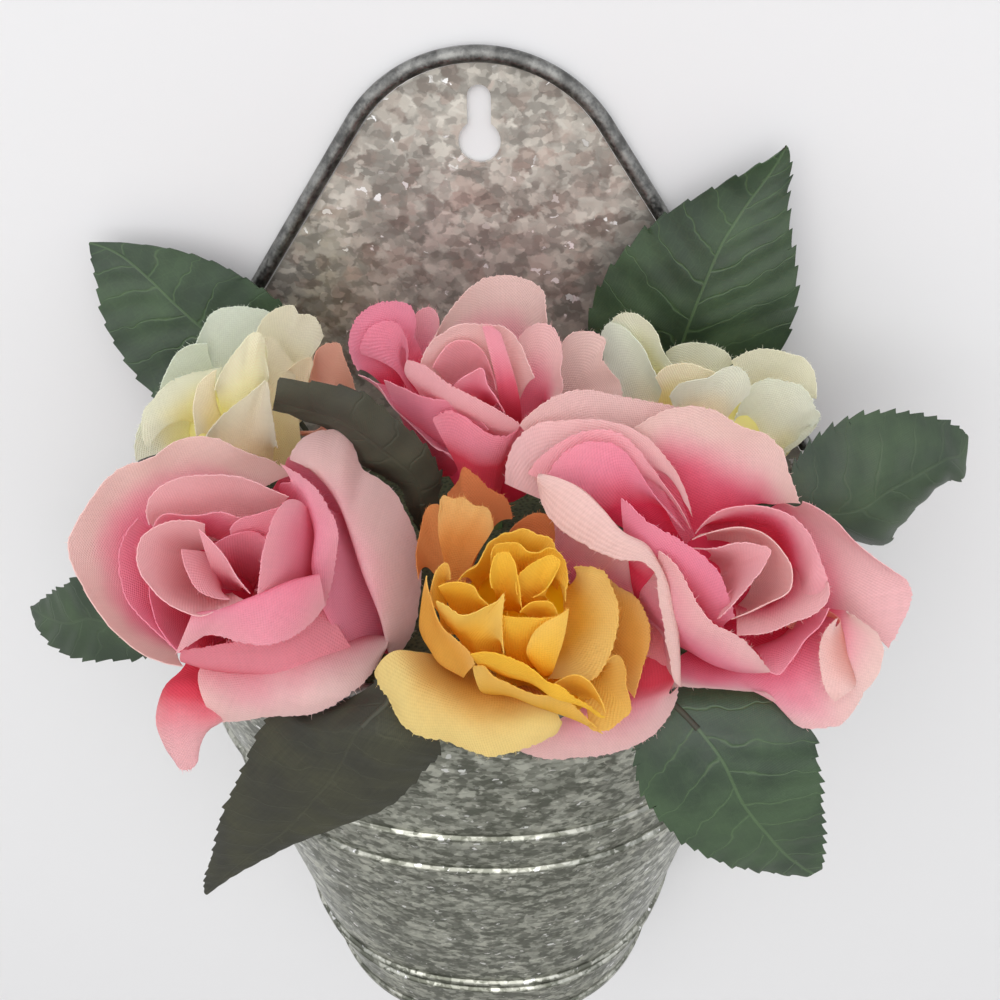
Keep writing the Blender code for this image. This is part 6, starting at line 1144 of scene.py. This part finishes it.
ROSE_RIGHT = [
    ([[(-6.5, 5.5, -2), (-5.5, 6.5, -3), (-4, 7.5, -2)],
      [(-22, 18, -2), (-16, 19, -3), (-10, 19, -2)],
      [(-39, 24.5, 7), (-28.5, 29.5, 5.5), (-16, 29.5, 3)],
      [(-47, 31, 13.5), (-42, 36, 14.5), (-37.5, 39.5, 12), (-33, 41, 9), (-26, 40.5, 7),
       (-17, 39.5, 6), (-10, 38.5, 6)]], (0.2, 0.9, 0.4, 0)),
    ([[(-6, 6, 4), (-3.5, 7.5, 4), (3.5, 8, 4)],
      [(-12, 13, 4), (-5, 10.5, 4), (6.5, 15, 4)],
      [(-16.5, 24.5, 8), (-3, 24.5, 5), (13, 17.5, 6)],
      [(-21.5, 30.5, 12), (-16.5, 34.5, 13), (-11.5, 37.5, 12), (-3, 38, 11), (4.5, 34.5, 11),
       (10, 33, 11), (13.5, 30, 11), (15.5, 25, 10), (18.5, 18, 9)]], (0.9, 1, 0.5, 0)),
    ([[(-7.5, 3.5, 4), (-6.5, 5.5, 4), (-4, 7.5, 4)],
      [(-16.5, 8, 6), (-11, 9, 6), (-6.5, 13, 6)],
      [(-38.5, 13.5, 13), (-25.5, 22, 12), (-10.5, 22, 11)],
      [(-49, 17, 16), (-48.5, 22, 17), (-47, 27, 17), (-43, 31, 16), (-34, 33, 15), (-24, 33, 15),
       (-17.5, 30.5, 14), (-13, 26.5, 13), (-9, 21.5, 12), (-5.5, 13, 11)]], (0.5, 0.8, 0.5, 0)),
    ([[(-8, 3.5, 4), (-7, 5, 4), (-5, 7, 4)],
      [(-15.5, 7, 8), (-11, 8, 8), (-7.5, 10.5, 8)],
      [(-32.5, 16, 14), (-23, 21.5, 14), (-12, 18, 12)],
      [(-43.5, 19.5, 18), (-38.5, 25.5, 19), (-30.5, 30, 19), (-24, 30.5, 18), (-18, 26.5, 16),
       (-13, 20.5, 14), (-9.5, 16, 13), (-6, 10, 11)]], (0.4, 0.5, 0.5, 0)),
    ([[(-8, 3, 4), (-7, 4.5, 4), (-6, 6, 4)],
      [(-16.5, 7, 10), (-12.5, 8, 9), (-8.5, 9, 9)],
      [(-30, 13.5, 15), (-22, 17.5, 15), (-11.5, 14.5, 13)],
      [(-38, 19.5, 21), (-35.5, 24, 21), (-30, 27.5, 21), (-24, 27.5, 20), (-20, 24.5, 18),
       (-16, 19, 17), (-12, 14, 15), (-7, 9.5, 13)]], (2, 0.3, 0.8, 0)),
    ([[(-10.5, -2, 2), (-8, -2.5, 2), (-5.5, -3, 2)],
      [(-17, -4, 2), (-13.5, -3.5, 2), (-10.5, -3.5, 2)],
      [(-20.5, -15.5, 8), (-15, -16.5, 9), (-9.5, -17.5, 10)],
      [(-22, -22.5, 10.5), (-16.5, -26.5, 10.5), (-11.5, -28, 9), (-6.5, -26.5, 8)]], (1, 0, 0.9, 0.3)),
    ([[(-8.5, -1.5, 3), (-7.5, -4, 4), (-5.5, -6.5, 4)],
      [(-34.5, -6.5, 3), (-23.5, -13, 4), (-13, -14.5, 5)],
      [(-38, 10, 10), (-26, 0.5, 9), (-15.5, -4, 10), (-8.5, -22, 10)],
      [(-40, 18.5, 24), (-33.5, 16, 25), (-26, 11, 26), (-20.5, 7, 26), (-14.5, 4.5, 26), (-11, 0, 25),
       (-8.5, -8, 23), (-6.5, -16.5, 20), (-5, -25.5, 16)],
      [(-39.5, 16.5, 22), (-37, 10, 22), (-34.5, 7.5, 23), (-28, 4, 24), (-20.5, 1.5, 25),
       (-15, 1.5, 26), (-12.5, 0, 25), (-11, -5.5, 24), (-9, -14.5, 21),
       (-6.5, -24.5, 17)]], (0.5, 1.2, 0.5, 0)),
    ([[(-6.5, -5.5, 2), (-2.5, -8, 3), (2.5, -8, 3)],
      [(-14.5, -12, 2), (-5, -17, 3), (5.5, -18, 3)],
      [(-16.5, -6, 10), (-6.5, -16, 12), (6, -21, 11)],
      [(-12.5, 0.5, 20), (-10, -3.5, 22), (-7, -8, 23), (-2.5, -13, 22), (6, -17.5, 20),
       (13.5, -20.5, 17)],
      [(-12, 4, 26), (-9.5, 2.5, 27), (-6.5, -0.5, 27), (-2.5, -6, 27), (1, -10, 26), (7, -13, 23),
       (14, -20, 18)]], (0.5, 0.8, 0.65, 0)),
    ([[(-7.5, -4.5, 4), (-2.5, -8, 4), (2, -8.5, 4)],
      [(-14.5, -8.5, 6), (-5, -15, 6), (4, -17.5, 6)],
      [(-19.5, 3, 16), (-9.5, -3.5, 18), (3, -12, 16)],
      [(-21, 15, 24), (-18, 13.5, 25), (-15, 11, 26), (-7.5, 7, 27), (-2.5, 4, 27), (1, 1, 26),
       (3.5, -3, 24), (5.5, -8.5, 20)]], (2.5, 0.2, 0.85, 0)),
    ([[(-2.5, 2.5, 4), (0, -3.5, 4), (2, -7, 4)],
      [(-1, 5, 17), (5, 2.5, 16), (3.5, -5, 17)],
      [(-5, 5, 21), (0, 6, 24), (5, 7.5, 25), (8.5, 7.5, 25), (12, 6.5, 25), (11, 3, 25),
       (8.5, -1.5, 25), (5.5, -6, 25), (2, -9.5, 23)]], (-0.1, 0.6, 0, 0)),
    ([[(-1.5, 7, 4), (7.5, 3.5, 4), (6, -6, 4)],
      [(-2.5, 9, 12), (12, 7, 12), (14.5, -1, 12), (6.5, -8.5, 12)],
      [(-5, 7.5, 18), (0, 9.5, 20), (6, 10.5, 21), (10.5, 9.5, 21), (14.5, 6.5, 21), (17, 3, 20),
       (17, -1.5, 20), (11.5, -5.5, 20), (5, -9.5, 20)]], (-0.1, 0.9, -0.2, 0)),
    ([[(-2, 8, 2), (7, 4.5, 0), (8.5, -2, 0)],
      [(-3, 10.5, 2), (13.5, 8.5, 0), (15.5, -3.5, 0)],
      [(-2.5, 12, 10), (15, 11.5, 10), (19.5, 0, 10), (12, -10, 10)],
      [(-4.5, 9, 15), (0, 13.5, 17), (5, 15, 18), (11.5, 15.5, 19), (17, 14, 19), (20.5, 11, 19),
       (23, 6, 19), (25, 0.5, 18), (24, -5, 18)]], (0.8, 0.5, 0.55, 0)),
    ([[(8.5, 1, 2), (8, -2.5, 2), (5.5, -6, 2)],
      [(13.5, 1.5, 2), (12, -3.5, 2), (5.5, -6, 2)],
      [(19.5, 3.5, 10), (17.5, -3, 12), (6, -8, 12)],
      [(25, 0.5, 19), (25, -3.5, 20), (22, -7, 21), (17.5, -9, 21), (12, -11.5, 21),
       (6.5, -13, 20)]], (0.6, 0.7, 0.5, 0)),
    ([[(8.5, -1.5, -2), (7, -4.5, -2), (4.5, -7.5, 0)],
      [(18, -3.5, -2), (16, -10.5, -2), (9, -15, 0)],
      [(24, -5.5, 8), (19.5, -12, 10), (12, -17, 10)],
      [(26, -5, 15), (24.5, -8.5, 16), (21, -13, 17), (18.5, -17.5, 17), (16, -20.5, 17),
       (14, -20, 17)]], (0.4, 0.3, 0.7, 0)),
    ([[(5, 7, -3.5), (8.5, 1.5, -3.5), (8, -3, -3.5)],
      [(13.5, 18, -4), (20.5, 4, -4), (27.5, -10.5, -4)],
      [(18, 17.5, 2), (31.5, 4, 2), (32.5, -7.5, 2)],
      [(19, 18.5, 7), (22.5, 17, 8), (26.5, 14.5, 8), (30.5, 11, 7), (36, 7.5, 6), (40.5, 5, 5),
       (43.5, 3, 4), (45, 0, 3), (44.5, -4, 3), (43, -8, 4), (40.5, -13, 5)]], (0.5, 0.7, 0.4, 0)),
    ([[(-1, -8.5, 2), (5, -6.5, 1), (8.5, -2, 0)],
      [(-1.5, -15.5, 2), (10, -13, 1), (21.5, -5, 0)],
      [(-8.5, -21.5, 9), (14, -20.5, 8), (30, -5.5, 6)],
      [(-11, -26.5, 9), (-2.5, -26, 9.5), (8.5, -26, 9), (15, -26, 9), (18.5, -29, 8), (21, -32, 8),
       (28, -32, 8), (31, -31, 8), (33.5, -27.5, 9), (35.5, -23, 9), (38, -19, 9), (39, -14, 9),
       (38, -10.5, 9), (34.5, -7.5, 9), (30.5, -5, 9)]], (1.1, 1, 0.65, 0)),
    ([[(7, -1, 4), (7.5, -3.5, 4), (8.5, -6, 4)],
      [(29, -8, 11), (30.5, -14, 10), (33, -22, 11)],
      [(27.5, -9, 15), (27.5, -15, 15), (31, -23.5, 14)],
      [(28, -7, 15), (25.5, -10, 16), (24.5, -14, 16), (25, -18.5, 16), (26.5, -23, 15),
       (29, -25.5, 13)]], (0, 1, 0.6, 0.8)),
    ([[(-6.5, -8, 4), (-4.5, -7.5, 4), (-2, -6.5, 4)],
      [(-15, -20, 9.5), (-11.5, -18.5, 9), (-7.5, -17.5, 8)],
      [(-24, -29.5, 12.5), (-16, -27.5, 12), (-6.5, -24.5, 12)],
      [(-34.5, -38, 12), (-20.5, -33.5, 13), (-7.5, -27.5, 13)],
      [(-45.5, -43.5, 9), (-41, -45, 9), (-35, -46, 9), (-28, -45, 9), (-21.5, -43.5, 10),
       (-15.5, -41, 10), (-10.5, -37.5, 10), (-6.5, -31.5, 10.5),
       (-5.5, -26, 11)]], (1.6, 0.8, 0.6, 0.1)),
]
make_rose("right", (56.5, -80, -80), 0.92, ROSE_RIGHT, PINK, 30)
ROSE_TOP = [
    ([[(-4.5, 7, -3.5), (-2.5, 8, -3.5), (1, 8.5, -3.5)],
      [(-9, 14, -4), (-4, 13.5, -4), (1.5, 14, -4)],
      [(-15.5, 25.5, 0), (-3.5, 28.5, -1), (8, 27, 0)],
      [(-17.5, 27, 4), (-15.5, 31.5, 5), (-12, 36.5, 6), (-9.5, 39.5, 6), (-6, 42.5, 6), (-2, 43.5, 6),
       (1.5, 43.5, 6), (5.5, 42.5, 6), (8.5, 40.5, 6), (9.5, 36.5, 6),
       (10.5, 32.5, 5)]], (0.4, 1, 0.45, 0)),
    ([[(-8, 6.5, -2), (-5.5, 6.5, -2), (-3, 6.5, -2)],
      [(-19, 18.5, -2), (-16.5, 18, -2), (-14, 18.5, -2)],
      [(-23, 26, 2), (-20, 27, 1), (-15.5, 26, 2)],
      [(-23.5, 29.5, 4), (-22, 32.5, 5), (-20.5, 34, 5), (-18.5, 34.5, 5), (-16.5, 32.5, 5),
       (-16, 29.5, 4)]], (0.7, 0.5, 0.6, 0)),
    ([[(-9.5, 3, 0), (-7, 4.5, 0), (-5, 5.5, 0)],
      [(-21, 8.5, 0), (-18.5, 11, 0), (-16, 13.5, 0)],
      [(-31.5, 17, 7), (-24.5, 22, 6), (-20, 24, 6)],
      [(-34, 17.5, 11), (-37, 24, 11), (-36, 28.5, 12), (-33.5, 32, 12), (-30, 34, 12),
       (-26, 34.5, 11), (-23, 34, 10), (-21.5, 31, 9), (-21.5, 26.5, 8)]], (2, 0.3, 0.85, 0)),
    ([[(-8.5, 2.5, 3), (-7, 4.5, 3), (-6, 6.5, 3)],
      [(-19.5, 10, 3), (-20.5, 13.5, 3), (-22, 16, 3)],
      [(-26.5, 19, 9), (-25.5, 21.5, 9), (-23.5, 24, 9)],
      [(-34, 21.5, 11), (-33, 26, 13), (-30, 29, 13), (-26.5, 29.5, 13), (-24, 27.5, 12),
       (-23, 24.5, 11), (-23, 20, 10)]], (1.1, 0.2, 0.8, 0)),
    ([[(4.5, 6, -2.5), (7, 5, -2.5), (9, 3.5, -2.5)],
      [(9, 8.5, -2), (12.5, 7.5, -3), (16.5, 8.5, -2)],
      [(12.5, 20.5, 2), (19.5, 21, 3), (26.5, 13.5, 3)],
      [(14, 28, 6), (16, 30.5, 7), (19, 31.5, 7), (22, 31.5, 7), (24.5, 30, 7), (24.5, 25, 7),
       (27, 22, 7), (29, 20, 6), (30, 16.5, 6), (31, 12.5, 5)]], (0.2, 1.3, 0.1, 0)),
    ([[(3.5, 7.5, 3.5), (5, 6, 3.5), (7, 4.5, 3.5)],
      [(3.5, 6, 4), (6, 6.5, 3), (8.5, 8.5, 4)],
      [(4, 20, 12), (9, 19.5, 12), (12.5, 13, 12)],
      [(3.5, 27.5, 16), (5.5, 30, 17), (8, 31.5, 17), (11, 31, 17), (13, 28.5, 17), (14, 24.5, 17),
       (13.5, 21, 17), (14.5, 17, 16), (13.5, 12.5, 15)]], (0.5, 0.8, 0.5, 0)),
    ([[(-6.5, 5, 4), (-3.5, 7.5, 4), (3.5, 8, 4)],
      [(-11, 8.5, 4), (-3.5, 7.5, 4), (3.5, 8.5, 4)],
      [(-16.5, 17.5, 16), (-6, 20.5, 14), (6, 16.5, 16)],
      [(-19, 19.5, 21), (-18, 22.5, 22), (-16, 25.5, 23), (-13.5, 27, 24), (-11, 28.5, 25),
       (-7.5, 29, 25), (-4, 29, 25), (-0.5, 29, 25), (2, 27.5, 25), (4, 25, 24), (6, 21.5, 23),
       (8, 18.5, 22)]], (-0.2, 0.9, -0.6, 0)),
    ([[(-6.5, 5.5, 4), (-3, 8, 4), (1, 8.5, 4)],
      [(-11, 9.5, 8), (-3.5, 9, 8), (1, 9.5, 8)],
      [(-14, 17.5, 16), (-8.5, 20, 15), (-1.5, 18.5, 16)],
      [(-16, 19, 21), (-14.5, 22, 22), (-11.5, 25, 23), (-8, 25.5, 23), (-5, 24, 22), (-2.5, 20, 21),
       (-1, 15, 20)]], (0.2, 0.5, 0.3, 0)),
    ([[(1, 7, 4), (3.5, 7, 4), (6, 7, 4)],
      [(-1.5, 18.5, 22), (0.5, 18.5, 22), (3, 18.5, 22)],
      [(-5, 28.5, 27), (-3, 28.5, 28), (-1, 27.5, 27)]], (0.8, 0.3, 0.5, 0)),
    ([[(-5.5, 6.5, 4), (-3.5, 6.5, 4), (-0.5, 7, 4)],
      [(-9.5, 13, 20), (-5.5, 14.5, 20), (0, 12, 20)],
      [(-10.5, 15, 24), (-8.5, 17, 26), (-6.5, 18, 27), (-4.5, 19, 28), (-3, 16, 27), (-0.5, 12.5, 25),
       (1.5, 10, 22)]], (0.8, 0.3, 0.6, 0)),
    ([[(-8, -2.5, 4), (-6, -3, 4), (-1, -1.5, 4)],
      [(-11, -4, 4), (-6, -3, 4), (-1, -1.5, 4)],
      [(-19, 13, 14), (-8, 7, 16), (2.5, 3.5, 16)],
      [(-22.5, 18, 20), (-18.5, 15.5, 22), (-12.5, 12.5, 24), (-5.5, 10, 24), (4.5, 5.5, 23)],
      [(-22, 20, 22), (-18.5, 19, 24), (-12.5, 15.5, 26), (-7, 13.5, 26), (-1, 11, 26),
       (5, 7, 25)]], (0.4, 0.6, 0.4, 0)),
    ([[(-7.5, -3.5, 2), (-5.5, -3.5, 2), (-3.5, -4, 2)],
      [(-13.5, -6.5, 2), (-8.5, -5.5, 2), (-3.5, -4, 2)],
      [(-23, 7, 11), (-13, 3.5, 13), (-3.5, 1, 14)],
      [(-27.5, 15, 18), (-23, 13.5, 20), (-17.5, 12, 22), (-11.5, 11.5, 23), (-7, 9.5, 23),
       (-2, 5.5, 22)]], (0.9, 0.4, 0.8, 0)),
    ([[(-7.5, 4, 4), (-4.5, 0.5, 4), (-1, -3.5, 4)],
      [(-23, 13.5, 6), (-11, 6, 8), (-1, -3.5, 8)],
      [(-30, 15, 8), (-20.5, 7, 10.5), (-5, -4, 11)],
      [(-34, 16.5, 12), (-30, 15, 13), (-25, 8.5, 14), (-21.5, 5.5, 13.5), (-18, 3, 14),
       (-14, 0.5, 15), (-8.5, -1, 17), (-6, -3, 16), (-3.5, -6, 16),
       (2, -13, 13)]], (0.7, 0.7, 0.75, 0)),
    ([[(-2.5, -8, 4), (-0.5, -8.5, 4), (1.5, -8.5, 4)],
      [(-3.5, -12.5, 6), (-0.5, -13, 6), (1.5, -11, 6)],
      [(-9.5, -2.5, 16), (-1, -5, 17), (4.5, 2.5, 16)],
      [(-15, 7, 22), (-12.5, 9, 23), (-11, 9.5, 24), (-7.5, 8, 25), (-4.5, 6, 25), (-1, 4.5, 24),
       (2, 4.5, 24), (4.5, 5.5, 24), (6, 7.5, 23), (10, 10, 21),
       (14.5, 12.5, 19)]], (3, 0.3, 0.9, 0.1)),
]
make_rose("top", (6.8, -50, -69.6), 0.95, ROSE_TOP, PINK, 37)
ROSE_CREAM_LEFT = [
    ([[(-3.5, 7.5, -3.5), (0, 8, -3.5), (4, 7.5, -3.5)],
      [(-10, 19, 0), (-2.5, 21.5, -1), (5.5, 20.5, 0)],
      [(-12, 20.5, 2), (-10.5, 25.5, 3), (-9.5, 28, 3), (-7, 30, 3), (-3.5, 31, 3), (0.5, 31, 3),
       (4.5, 30.5, 3), (7.5, 28.5, 2)]], (0, 1, 0.1, 0)),
    ([[(-6, 5, -3.5), (-4.5, 6.5, -3.5), (-2.5, 7.5, -3.5)],
      [(-14.5, 11, 0), (-12.5, 14.5, -1), (-8.5, 17, 0)],
      [(-20, 8.5, 3), (-19, 12.5, 4), (-17.5, 16.5, 4), (-15, 19, 4), (-12, 20.5, 4),
       (-9.5, 21, 4)]], (0, 1, 0.1, 0)),
    ([[(4.5, 4.5, -1), (7, 4, -1), (9.5, 4, -1)],
      [(5.5, 5, -1), (9, 5, -1), (12.5, 5.5, -1)],
      [(3.5, 17.5, 5), (10, 20.5, 4), (17, 16.5, 5)],
      [(2, 23.5, 8), (4, 28.5, 9), (7, 31, 9), (10, 32, 9), (10.5, 32, 9), (12, 30, 9), (15.5, 30, 9),
       (17.5, 28, 9), (18.5, 25, 8), (17, 21.5, 8), (15, 18.5, 8)]], (0.2, 0.3, 0.4, 0.1)),
    ([[(6, 2, 2), (8.5, 2, 2), (11, 2, 2)],
      [(11.5, 2.5, 2), (13, 2.5, 2), (15, 3.5, 2)],
      [(8.5, 11.5, 7), (12, 11.5, 7), (15.5, 11.5, 7)],
      [(9.5, 14.5, 10), (11.5, 17, 11), (14, 19, 11), (16, 19.5, 10),
       (16.5, 18, 10)]], (0.1, 0.1, 0.8, 0.15)),
    ([[(-1, -5, 4), (2.5, -5.5, 4), (6.5, -5, 4)],
      [(-6, 8.5, 14), (1, 11, 17), (6, 10, 14)],
      [(-6.5, 9, 17), (-5.5, 13, 19), (-3.5, 17, 20), (-1, 20.5, 21), (1, 23, 21), (3, 23.5, 21),
       (4, 22.5, 20), (4.5, 19, 19), (5.5, 13.5, 18)]], (0.9, 0.1, 0.8, 0)),
    ([[(1.5, 7.5, 4), (3, 7, 4), (4.5, 7, 4)],
      [(-0.5, 14.5, 14), (2.5, 16, 13), (5.5, 14, 14)],
      [(0, 19.5, 18), (2, 22, 19), (4, 21.5, 19), (5, 18, 18)]], (1.2, 0, 0.8, 0)),
    ([[(0, -8.5, 4), (2.5, -8, 4), (4.5, -7.5, 4)],
      [(0, -12.5, 4), (4, -13, 4), (7.5, -12.5, 4)],
      [(-6, -3.5, 14), (1, -2.5, 17), (8.5, -3.5, 14)],
      [(-8, -2.5, 18), (-4, 3, 21), (0, 7, 23), (3, 10, 24), (5, 12, 24), (6.5, 7, 23), (8, 1.5, 21),
       (9.5, -3.5, 19)]], (0.3, 0.5, 0.6, 0.2)),
    ([[(5.5, -6.5, 4), (6.5, -5.5, 4), (7.5, -4, 4)],
      [(8, -10, 6), (11, -10, 5), (14.5, -7.5, 4)],
      [(6.5, 2.5, 12), (10, 2.5, 10), (14.5, 2.5, 8)],
      [(5.5, 12.5, 15), (8.5, 13, 12), (13, 11.5, 9)],
      [(4, 22.5, 17), (6, 23, 15), (8.5, 21, 12), (12, 17.5, 9)]], (0.5, 0.2, 0.6, 0.1)),
    ([[(-6.5, -5, -3.5), (-7.5, -4, -3.5), (-8.5, -1.5, -3.5)],
      [(-10, -8, -4), (-10, -5, -4), (-8.5, -1.5, -4)],
      [(-18.5, -7.5, 1), (-18.5, -2.5, 1), (-14, 4.5, 1)],
      [(-24.5, -10, 3), (-25, -5.5, 4), (-24.5, -1.5, 4), (-22.5, 2.5, 4),
       (-19, 7.5, 3)]], (0.6, 0.6, 0.5, 0)),
    ([[(-6, -2.5, 0), (-4.5, 0, 0), (-2.5, 2.5, 0)],
      [(-17, 0, 6), (-13.5, 6, 6), (-6, 11, 7)],
      [(-21.5, -6.5, 8), (-23.5, -1.5, 8), (-23.5, 2, 8), (-21, 6, 8), (-19, 9, 8), (-16.5, 11, 8),
       (-12.5, 13, 8), (-9, 14, 8), (-5.5, 15, 9)]], (0.7, 0.5, 0.5, 0)),
    ([[(-3.5, -5, 4), (-3, -2.5, 4), (-2.5, 0, 4)],
      [(-8.5, -1.5, 11), (-8, 3.5, 12), (-6.5, 8.5, 12)],
      [(-10, -2.5, 15), (-11, 2.5, 16), (-11, 7, 16), (-10, 10.5, 16),
       (-6.5, 14, 16)]], (0.5, 0.2, 0.6, 0.15)),
    ([[(6, 1, -0.5), (8.5, 1, -0.5), (11, 1, -0.5)],
      [(20.5, 3, 0), (23, 3, -1), (26.5, 4.5, 0)],
      [(16.5, 11.5, 4), (21.5, 14.5, 4), (27.5, 12, 4)],
      [(16, 14, 7), (16.5, 17.5, 8), (17.5, 21.5, 8), (20, 23.5, 8), (22.5, 24, 8), (24.5, 20.5, 8),
       (27.5, 15, 7), (28.5, 11, 6)]], (0.2, 0.2, 0.8, 1.2)),
]
make_rose("cream_left", (-57.4, -40, -71), 0.97, ROSE_CREAM_LEFT, CREAM, 44)
ROSE_CREAM_RIGHT = [
    ([[(-7, 5, -3.5), (-5.5, 6.5, -3.5), (-2.5, 7.5, -3.5)],
      [(-10, 7.5, -5), (-6.5, 7.5, -5), (-2.5, 7.5, -5)],
      [(-12.5, 14, -3), (-6, 15.5, -3), (0, 13.5, -3)],
      [(-13.5, 18.5, -1), (-11.5, 20, 0), (-8.5, 21, 0), (-4.5, 21, 0), (-1.5, 20.5, 0), (1.5, 19, 0),
       (3, 16.5, -1)]], (0.1, 0.6, 0.4, 0.1)),
    ([[(5, 2.5, -3.5), (6.5, 2.5, -3.5), (8, 2.5, -3.5)],
      [(5, 2.5, -4), (8.5, 2.5, -4), (12, 2.5, -4)],
      [(5, 11, -1), (12, 13.5, -2), (20.5, 8.5, -1)],
      [(2.5, 17, 3), (5, 19, 3), (8.5, 20.5, 3), (12.5, 20.5, 3), (16.5, 19.5, 3), (19.5, 18.5, 3),
       (21.5, 16, 3), (22.5, 13, 3), (23, 9, 2)]], (0.2, 0.4, 0.5, 0.1)),
    ([[(-9.5, 5, -1), (-7.5, 3.5, -1), (-5.5, 2.5, -1)],
      [(-16, 5, -1), (-13.5, 6.5, -1), (-10.5, 7.5, -1)],
      [(-22, 20, 3), (-17, 17.5, 2), (-13, 13.5, 3)],
      [(-27, 24.5, 6), (-25, 26.5, 7), (-22, 27, 7), (-18.5, 25.5, 7), (-15.5, 22.5, 6), (-14, 19, 6),
       (-13, 17, 5), (-11.5, 15, 5)]], (0.8, 0.4, 0.6, 0)),
    ([[(-11, 1.5, 2.5), (-8.5, 1.5, 2.5), (-6, 1, 2.5)],
      [(-18.5, 1.5, 2), (-15.5, 1.5, 2), (-11.5, 4, 3)],
      [(-25.5, 9, 4), (-22.5, 11.5, 4), (-17, 11, 6), (-13, 7.5, 7)],
      [(-29, 17.5, 4), (-29, 22.5, 5), (-27.5, 24.5, 6), (-25, 24, 7), (-21.5, 21.5, 8),
       (-18.5, 18.5, 9), (-16, 14, 9), (-13, 10, 9)]], (0, 0.9, 0.3, 0)),
    ([[(5, -4, 0), (7.5, -4, 0), (10, -4, 0)],
      [(7, -5, 0), (11, -5.5, 0), (14.5, -6.5, 0)],
      [(5.5, 2.5, 6), (13, 3.5, 5), (21, 2, 6)],
      [(4.5, 2.5, 9), (6, 8, 10), (8, 11.5, 10), (11.5, 13, 10), (15.5, 12.5, 10), (19, 11.5, 10),
       (21.5, 9, 10), (22.5, 6.5, 10), (24, 5, 9), (22, 2, 8)]], (0.4, 0.8, 0.3, 0)),
    ([[(7, -3, -2), (6.5, -5, -2), (6, -7.5, -2)],
      [(8.5, -7.5, -2), (11, -9, -2), (13.5, -9, -2)],
      [(16.5, 0, 3), (18, -2.5, 3), (15.5, -6, 3)],
      [(22.5, 6.5, 6), (24, 4.5, 6), (22.5, 1, 6), (20, -2, 6), (17, -4.5, 5),
       (15, -7.5, 4)]], (0.1, 0.7, 0.3, 0)),
    ([[(-8.5, 2, 4), (-7.5, 2.5, 4), (-3.5, 3, 4)],
      [(-11, 2.5, 4), (-7.5, 2.5, 4), (-3.5, 3, 4)],
      [(-13.5, 9, 10), (-8, 10, 10), (-1.5, 10, 10)],
      [(-15, 11.5, 13), (-12.5, 14, 14), (-9.5, 15, 14), (-6, 15, 14), (-3, 14, 14),
       (-1, 13.5, 14)]], (0.9, 0.1, 0.8, 0.1)),
    ([[(-6, -2.5, 4), (-2.5, -2.5, 4), (1, -2, 4)],
      [(-10, 4.5, 13), (-3.5, 6, 14), (3.5, 4.5, 13)],
      [(-11, 7, 17), (-9, 10, 18), (-6, 11, 19), (-2.5, 12, 19), (0, 14, 19), (3, 15, 19),
       (5.5, 14, 18), (7, 12, 17), (7, 8.5, 16)]], (0.1, 0.8, 0.4, 0.1)),
]
make_rose("cream_right", (59, -40, -67), 0.97, ROSE_CREAM_RIGHT, CREAM, 51)
